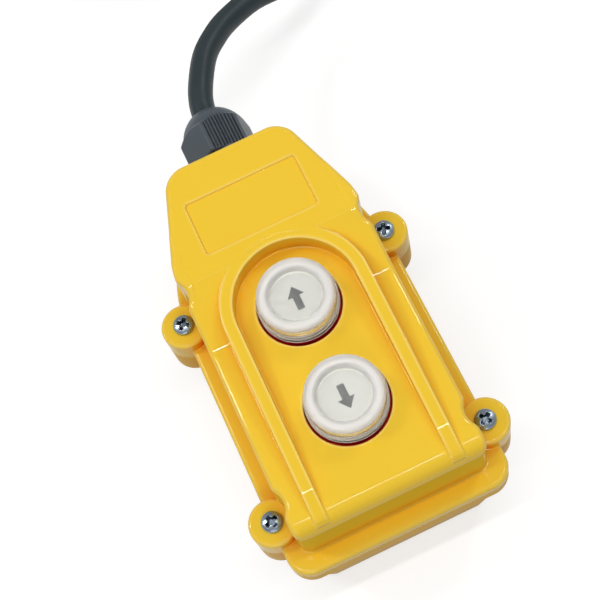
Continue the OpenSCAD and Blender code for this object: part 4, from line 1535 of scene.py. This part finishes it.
@dataclass
class CoverScrews:
    """The four zinc-plated pan-head screws, each with a tapered cross recess."""

    house: Housing = HOUSING
    head_d: float = 5.9
    head_h: float = 2.0
    shank_d: float = 3.0
    length: float = 14.5
    seat_h: float = 33.2
    head_edge_r: float = 0.35
    seat_edge_r: float = 0.15
    tip_r: float = 0.3
    neck_r: float = 0.05
    neck_in: float = 0.5
    thread_depth: float = 0.12
    thread_pitch: float = 0.6
    recess_l: float = 4.2
    recess_w: float = 1.2
    recess_depth: float = 1.7
    recess_r: float = 0.1
    recess_root_r: float = 0.15
    arm_taper: float = 0.55
    slot_taper: float = 0.35
    turns: tuple[float, float, float, float] = (0.35, 0.9, 0.6, 1.25)

    def field(self, x: Array, y: Array, z: Array) -> Array:
        """Distance to the screw's surface, with the head's seat at z = 0.

        Args:
            x: Place across the axis.
            y: The other place across the axis.
            z: Place along the axis.

        Returns:
            The distance, negative inside.
        """
        ax, ay = np.abs(x), np.abs(y)
        far = np.hypot(x, y)
        dome = np.hypot(far, z + self.head_d - self.head_h) - self.head_d
        head = meet(meet(far - self.head_d / 2, dome, self.head_edge_r), -z, self.seat_edge_r)
        thread = self.thread_depth * np.cos(2 * math.pi * z / self.thread_pitch)
        side = far - self.shank_d / 2 + self.thread_depth + thread * (z < 0)
        shank = meet(side, -self.length - z, self.tip_r)
        solid = join(head, np.maximum(shank, z - self.neck_in), self.neck_r)
        deep = (self.head_h - z) / self.recess_depth
        arm = self.recess_l / 2 * (1 - self.arm_taper * deep)
        half = self.recess_w / 2 * (1 - self.slot_taper * deep)
        slots = join(meet(ax - arm, ay - half, self.recess_r),
                     meet(ay - arm, ax - half, self.recess_r), self.recess_root_r)
        return cut(solid, np.maximum(slots, self.head_h - self.recess_depth - z), self.recess_r)

    def build(self, paints: Paints) -> None:
        """Builds one screw and sets it at the four ears, each turned its own way.

        Args:
            paints: The materials.
        """
        r = self.head_d / 2
        low, high = (0, -r, -self.length), (r, r, self.head_h)
        skinner = FieldSkinner(self.field, low, high, SCREW_CELL)
        first = paints.coat(mirrored_piece("cover_screw_1", skinner.skin()), "zinc")
        h = self.house
        seats = [(side * h.screw_x, y, self.seat_h) for side in (-1, 1) for y in h.screw_ys]
        for i, (seat, turn) in enumerate(zip(seats, self.turns)):
            piece = first if i == 0 else shown(f"cover_screw_{i + 1}", first.data)
            place = Matrix.Translation(Vector(seat) * MM)
            piece.matrix_world = place @ Matrix.Rotation(turn, 4, "Z")
            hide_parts("cover_screws")
            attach(piece, "pendant")
        LOG.info("cover screws: 4")


@dataclass
class GlandNut:
    """The gland's dome nut: a hexagon with fine grip ribs on every second flat."""

    KEPT: ClassVar[dict[str, str]] = {
        "gland_body": "gland_black", "gland_locknut": "gland_black",
        "gland_washer": "seal_black", "gland_seal": "seal_black"}

    house: Housing = HOUSING
    base: float = 3.4
    across: float = 19.0
    length: float = 17.0
    turn: float = 15.5
    flat_r: float = 0.4
    ribs: int = 11
    rib_depth: float = 0.5
    rib_crisp: float = 1.6
    rib_margin: float = 0.4
    rib_fade: float = 0.3
    bore_d: float = 15.2
    bore_edge_r: float = 0.3
    mouth_d: float = 8.1
    lip: float = 2.0
    cone: float = 4.0
    cone_slope: float = 0.9
    edge_r: float = 1.4
    chamfer_slope: float = 0.707
    base_edge_r: float = 0.3
    base_clear: float = 0.1
    dome_r: float = 10.7
    dome_in: float = 0.82
    dome_from: float = 7.95
    dome_edge_r: float = 0.35
    skirt_top: float = 9.5
    skirt_slope: tuple[float, float] = (0.74, 0.67)
    skirt_edge_r: float = 0.2

    def field(self, x: Array, y: Array, z: Array) -> Array:
        """Distance to the nut's surface, with its axis along z and its base at z = 0.

        Args:
            x: Place across the axis.
            y: The other place across the axis.
            z: Place along the axis.

        Returns:
            The distance, negative inside.
        """
        half = self.across / 2
        flat_half, corner = half * math.tan(math.pi / 6), half / math.cos(math.pi / 6)
        pitch = 2 * flat_half / (self.ribs + 0.5)
        hexagon = None
        for k in range(6):
            a = math.pi / 3 * k - math.pi / 2
            flat = x * math.cos(a) + y * math.sin(a) - half
            if k % 2 == 0:
                along = y * math.cos(a) - x * math.sin(a)
                wave = np.clip(np.cos(2 * math.pi * along / pitch) * self.rib_crisp, -1, 1)
                ends = ease((flat_half - self.rib_margin - np.abs(along)) / self.rib_fade)
                flat = flat + self.rib_depth / 2 * (1 - wave) * ends
            hexagon = flat if hexagon is None else meet(hexagon, flat, self.flat_r)
        far = np.hypot(x, y)
        dome = np.hypot(far + self.dome_in, np.maximum(z - self.dome_from, 0)) - self.dome_r
        out, up = self.skirt_slope
        skirt = (far - corner) * out + (z - self.skirt_top) * up
        cap = any_of(dome, np.maximum(skirt, far - corner))
        cap = meet(cap, z - self.length, self.dome_edge_r)
        outer = meet(meet(hexagon, cap, self.skirt_edge_r), self.base_clear - z, self.base_edge_r)
        chamfer = (far - corner + self.edge_r / 2 - z) * self.chamfer_slope
        outer = meet(outer, chamfer, self.base_edge_r)
        narrowing = np.maximum(z - self.length + self.lip + self.cone, 0) * self.cone_slope
        room = np.maximum((far - self.bore_d / 2) + narrowing, z - self.length + self.lip)
        return cut(outer, any_of(room, far - self.mouth_d / 2), self.bore_edge_r)

    def build(self, paints: Paints) -> None:
        """Builds and paints the nut, and paints the gland's other parts.

        Args:
            paints: The materials.
        """
        reach = self.across / 2 / math.cos(math.pi / 6)
        low, high = (0, -reach, 0), (reach, reach, self.length)
        skinner = FieldSkinner(self.field, low, high, NUT_CELL)
        piece = paints.coat(mirrored_piece("gland_dome_nut", skinner.skin()), "gland_black")
        h = self.house
        place = Matrix.Translation(Vector((0, h.y_wall + self.base, h.gland_h)) * MM)
        piece.matrix_world = place @ Matrix.Rotation(-math.pi / 2, 4, "X") @ Matrix.Rotation(
            math.radians(self.turn), 4, "Z")
        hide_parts("gland_nut")
        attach(piece, "pendant")
        for node, finish in self.KEPT.items():
            paints.recoat(node, finish)
        LOG.info("gland: dome nut")


ROUTE: tuple[Point, ...] = (
    (0, 66.9, 37), (0.7, 72, 37), (3, 78.2, 36.8), (7.8, 87.2, 35.7), (13.1, 93.1, 34.2),
    (19.2, 98.1, 32.2), (29.8, 103.6, 29), (41.6, 107, 24.5), (53, 111.2, 20),
    (61.2, 119.4, 15.6), (65.5, 131.1, 11), (66.3, 144, 7.2), (66.1, 156.5, 4.9),
    (65.3, 169, 4), (64.3, 181.4, 3.8), (63.1, 193.7, 3.8))
END_ROUTE: tuple[Point, ...] = (
    (18.2, 235.6, 11.3), (7.5, 235.5, 11.2), (-2.5, 234.3, 10.6), (-12.5, 231.5, 9.2))


@dataclass
class Cord:
    """The pendant's cable: a lead from the gland, a stored coil, and its stripped end."""

    diameter: float = 7.5
    coil_at: tuple[float, float] = (18.2, 190.6)
    coil_d: float = 75.0
    start: float = 4.0
    turns: float = 5 + 86 / 360
    hold: float = 0.64
    layer_h: float = 7.5
    climb: float = 0.36
    turn_steps: int = 40
    core_d: float = 2.0

    def winding(self) -> Array:
        """Centre line of the coil: three rings inwards on the floor, three outwards on top.

        Returns:
            Points of the line, one in a row.
        """
        n = int(self.turns * self.turn_steps)
        turn = np.linspace(0, self.turns, n + 1)
        from_end = np.minimum(turn, self.turns - turn)
        rings = np.floor(from_end) + ease((from_end % 1 - self.hold) / (1 - self.hold))
        r = self.coil_d / 2 + self.diameter * (1 - rings)
        z = self.diameter / 2 + self.layer_h * ease((turn - self.turns / 2) / self.climb + 0.5)
        angle = np.radians(self.start) + 2 * math.pi * turn
        return np.c_[self.coil_at[0] + r * np.cos(angle), self.coil_at[1] + r * np.sin(angle), z]

    def path(self) -> Array:
        """Centre line of the whole cable, in millimetres."""
        lead, tail = through(ROUTE, 4)[:-2], through(END_ROUTE, 4)[1:]
        return np.concatenate([lead, self.winding()[1:-1], tail])

    def cores(self) -> list[Array]:
        """Centre lines of the four stripped cores, spreading from the jacket's end.

        Returns:
            Points of each core's line, one in a row.
        """
        end = np.array(END_ROUTE[-1], float)
        way = np.array([-15, -5, 0]) / math.hypot(15, 5)
        side = np.array([-way[1], way[0], 0])
        near, floor = self.core_d / 2 + 0.1, np.array([0, 0, self.core_d / 2 - end[2]])
        lines = []
        for i in range(4):
            # The cores start as a bundle and end side by side.
            k, up = i - 1.5, near if i in (1, 2) else -near
            points = [end + side * math.copysign(near, k) + [0, 0, up],
                      end + 7 * way + side * k * 1.7 + [0, 0, 0.6 * up - 1.8],
                      end + 14 * way + side * k * 2.8 + floor + [0, 0, 1.6],
                      end + 20 * way + side * k * 3.2 + floor]
            lines.append(through(points, 6))
        return lines

    def build(self, paints: Paints) -> None:
        """Args:
            paints: The materials.
        """
        path = self.path()
        cable = paints.coat(tube("pendant_cable", path, self.diameter, 8), "sheath")
        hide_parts("cable", "cable_coil", "cable_end")
        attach(cable, "pendant")
        finishes = ("core_green", "core_black", "core_brown", "core_blue")
        for line, finish in zip(self.cores(), finishes):
            core = paints.coat(tube("end_" + finish, line, self.core_d, 4), finish)
            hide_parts("end_cores")
            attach(core, "pendant")
        paints.recoat("core_tips", "copper_bright")


INSIDE = {
    "cover_gasket": "seal_black", "screw_inserts": "brass_plain", "contact_block": "block_black",
    "terminal_screws": "zinc", "block_screws": "zinc", "cable_tail": "sheath",
    "common_core": "core_black", "up_core": "core_brown", "down_core": "core_blue",
    "earth_core": "core_green",
}


@dataclass(frozen=True)
class CameraPlace:
    """The photograph's camera, worked out from the housing's corners."""

    lens: float = 81.70
    sensor: float = 36.0
    tilt: float = -0.404929
    roll: float = 0.0370154
    turn: float = 0.457902
    distance: float = 363.0418
    look_at: Point = (0.0, -2.8, 47.0)
    shift: tuple[float, float] = (0.00417, 0.00187)

    def build(self) -> None:
        """Creates the camera and makes it the scene's."""
        data = bpy.data.cameras.new("camera")
        data.lens, data.sensor_width = self.lens, self.sensor
        data.shift_x, data.shift_y = self.shift
        data.clip_start, data.clip_end = 0.01, 20
        camera = shown("camera", data)
        to_view = (Matrix.Rotation(self.turn, 4, "Z") @ Matrix.Rotation(self.tilt, 4, "X")
                   @ Matrix.Rotation(self.roll, 4, "Y"))
        place = Matrix.Translation(Vector(self.look_at) * MM) @ to_view.transposed()
        camera.matrix_world = place @ Matrix.Translation((0, 0, self.distance * MM))
        bpy.context.scene.camera = camera


@dataclass(frozen=True)
class Studio:
    """A pale floor and plain soft light."""

    floor_side: float = 6.0
    shaded: float = 0.36
    pale: float = 0.42
    glow: float = 0.68
    world: float = 0.36
    lamps: tuple[tuple[str, Point, tuple[float, float], float], ...] = (
        ("overhead", (0.0, -0.01, 1.25), (1.1, 0.05), 5.0),
        ("window", (-0.8, 0.5, 1.05), (0.24, 0.24), 3.6),
        ("side_lamp", (0.85, 0.5, 0.95), (0.22, 0.22), 2.6),
        ("front_lamp", (-0.4, -1.1, 0.9), (0.5, 0.3), 3.0),
    )

    def floor(self) -> None:
        """Builds the floor, white where the camera sees it, with the pendant's shadow on it."""
        mesh = bpy.data.meshes.new("floor")
        s = self.floor_side / 2
        mesh.from_pydata([(-s, -s, 0), (s, -s, 0), (s, s, 0), (-s, s, 0)], [], [(0, 1, 2, 3)])
        made, w, skin = new_material("floor_white")
        path = w.add("LightPath").outputs
        seen = w.math("MAXIMUM", path["Is Camera Ray"],
                      w.math("MAXIMUM", path["Is Glossy Ray"], path["Is Transmission Ray"]))
        w.fill(skin, Base_Color=w.mix(seen, (self.shaded,) * 3, (self.pale,) * 3),
               Emission_Color=(1, 1, 1), Emission_Strength=w.math("MULTIPLY", seen, self.glow),
               Roughness=0.9, Specular_IOR_Level=0.0)
        mesh.materials.append(made)
        shown("floor", mesh)

    def light(self) -> None:
        """Builds the world and the lamps."""
        world = bpy.data.worlds.new("studio")
        bpy.context.scene.world = world
        world.use_nodes = True
        w = Wiring(world.node_tree)
        back = world.node_tree.nodes["Background"]
        seen = w.add("LightPath").outputs["Is Camera Ray"]
        w.fill(back, Color=(1, 1, 1), Strength=w.span(seen, 0, 1, (self.world, 1.0)))
        for name, place, (length, width), power in self.lamps:
            data = bpy.data.lights.new(name, "AREA")
            data.shape, data.size, data.size_y, data.energy = "RECTANGLE", length, width, power
            lamp = shown(name, data)
            lamp.location = place
            lamp.rotation_euler = (-Vector(place)).to_track_quat("-Z", "Y").to_euler()

    def build(self) -> None:
        """Builds the floor, the light and the plain view."""
        self.floor()
        self.light()
        bpy.context.scene.view_settings.view_transform = "Standard"


def main() -> None:
    """Builds the scene in order and reports each piece."""
    logging.basicConfig(level=logging.INFO, format="%(message)s")
    CameraPlace().build()
    paints = Paints()
    Cord().build(paints)
    cell = FINE_CELL
    for cover in (FrontCover(), RearCover()):
        piece = cover.build(paints, cell)
        LOG.info("%s: %d faces", piece.name, len(piece.data.polygons))
    for way in Way:
        Button(way).build(paints)
    CoverScrews().build(paints)
    GlandNut().build(paints)
    for node, finish in INSIDE.items():
        paints.recoat(node, finish)
    Studio().build()


if __name__ == "__main__":
    main()
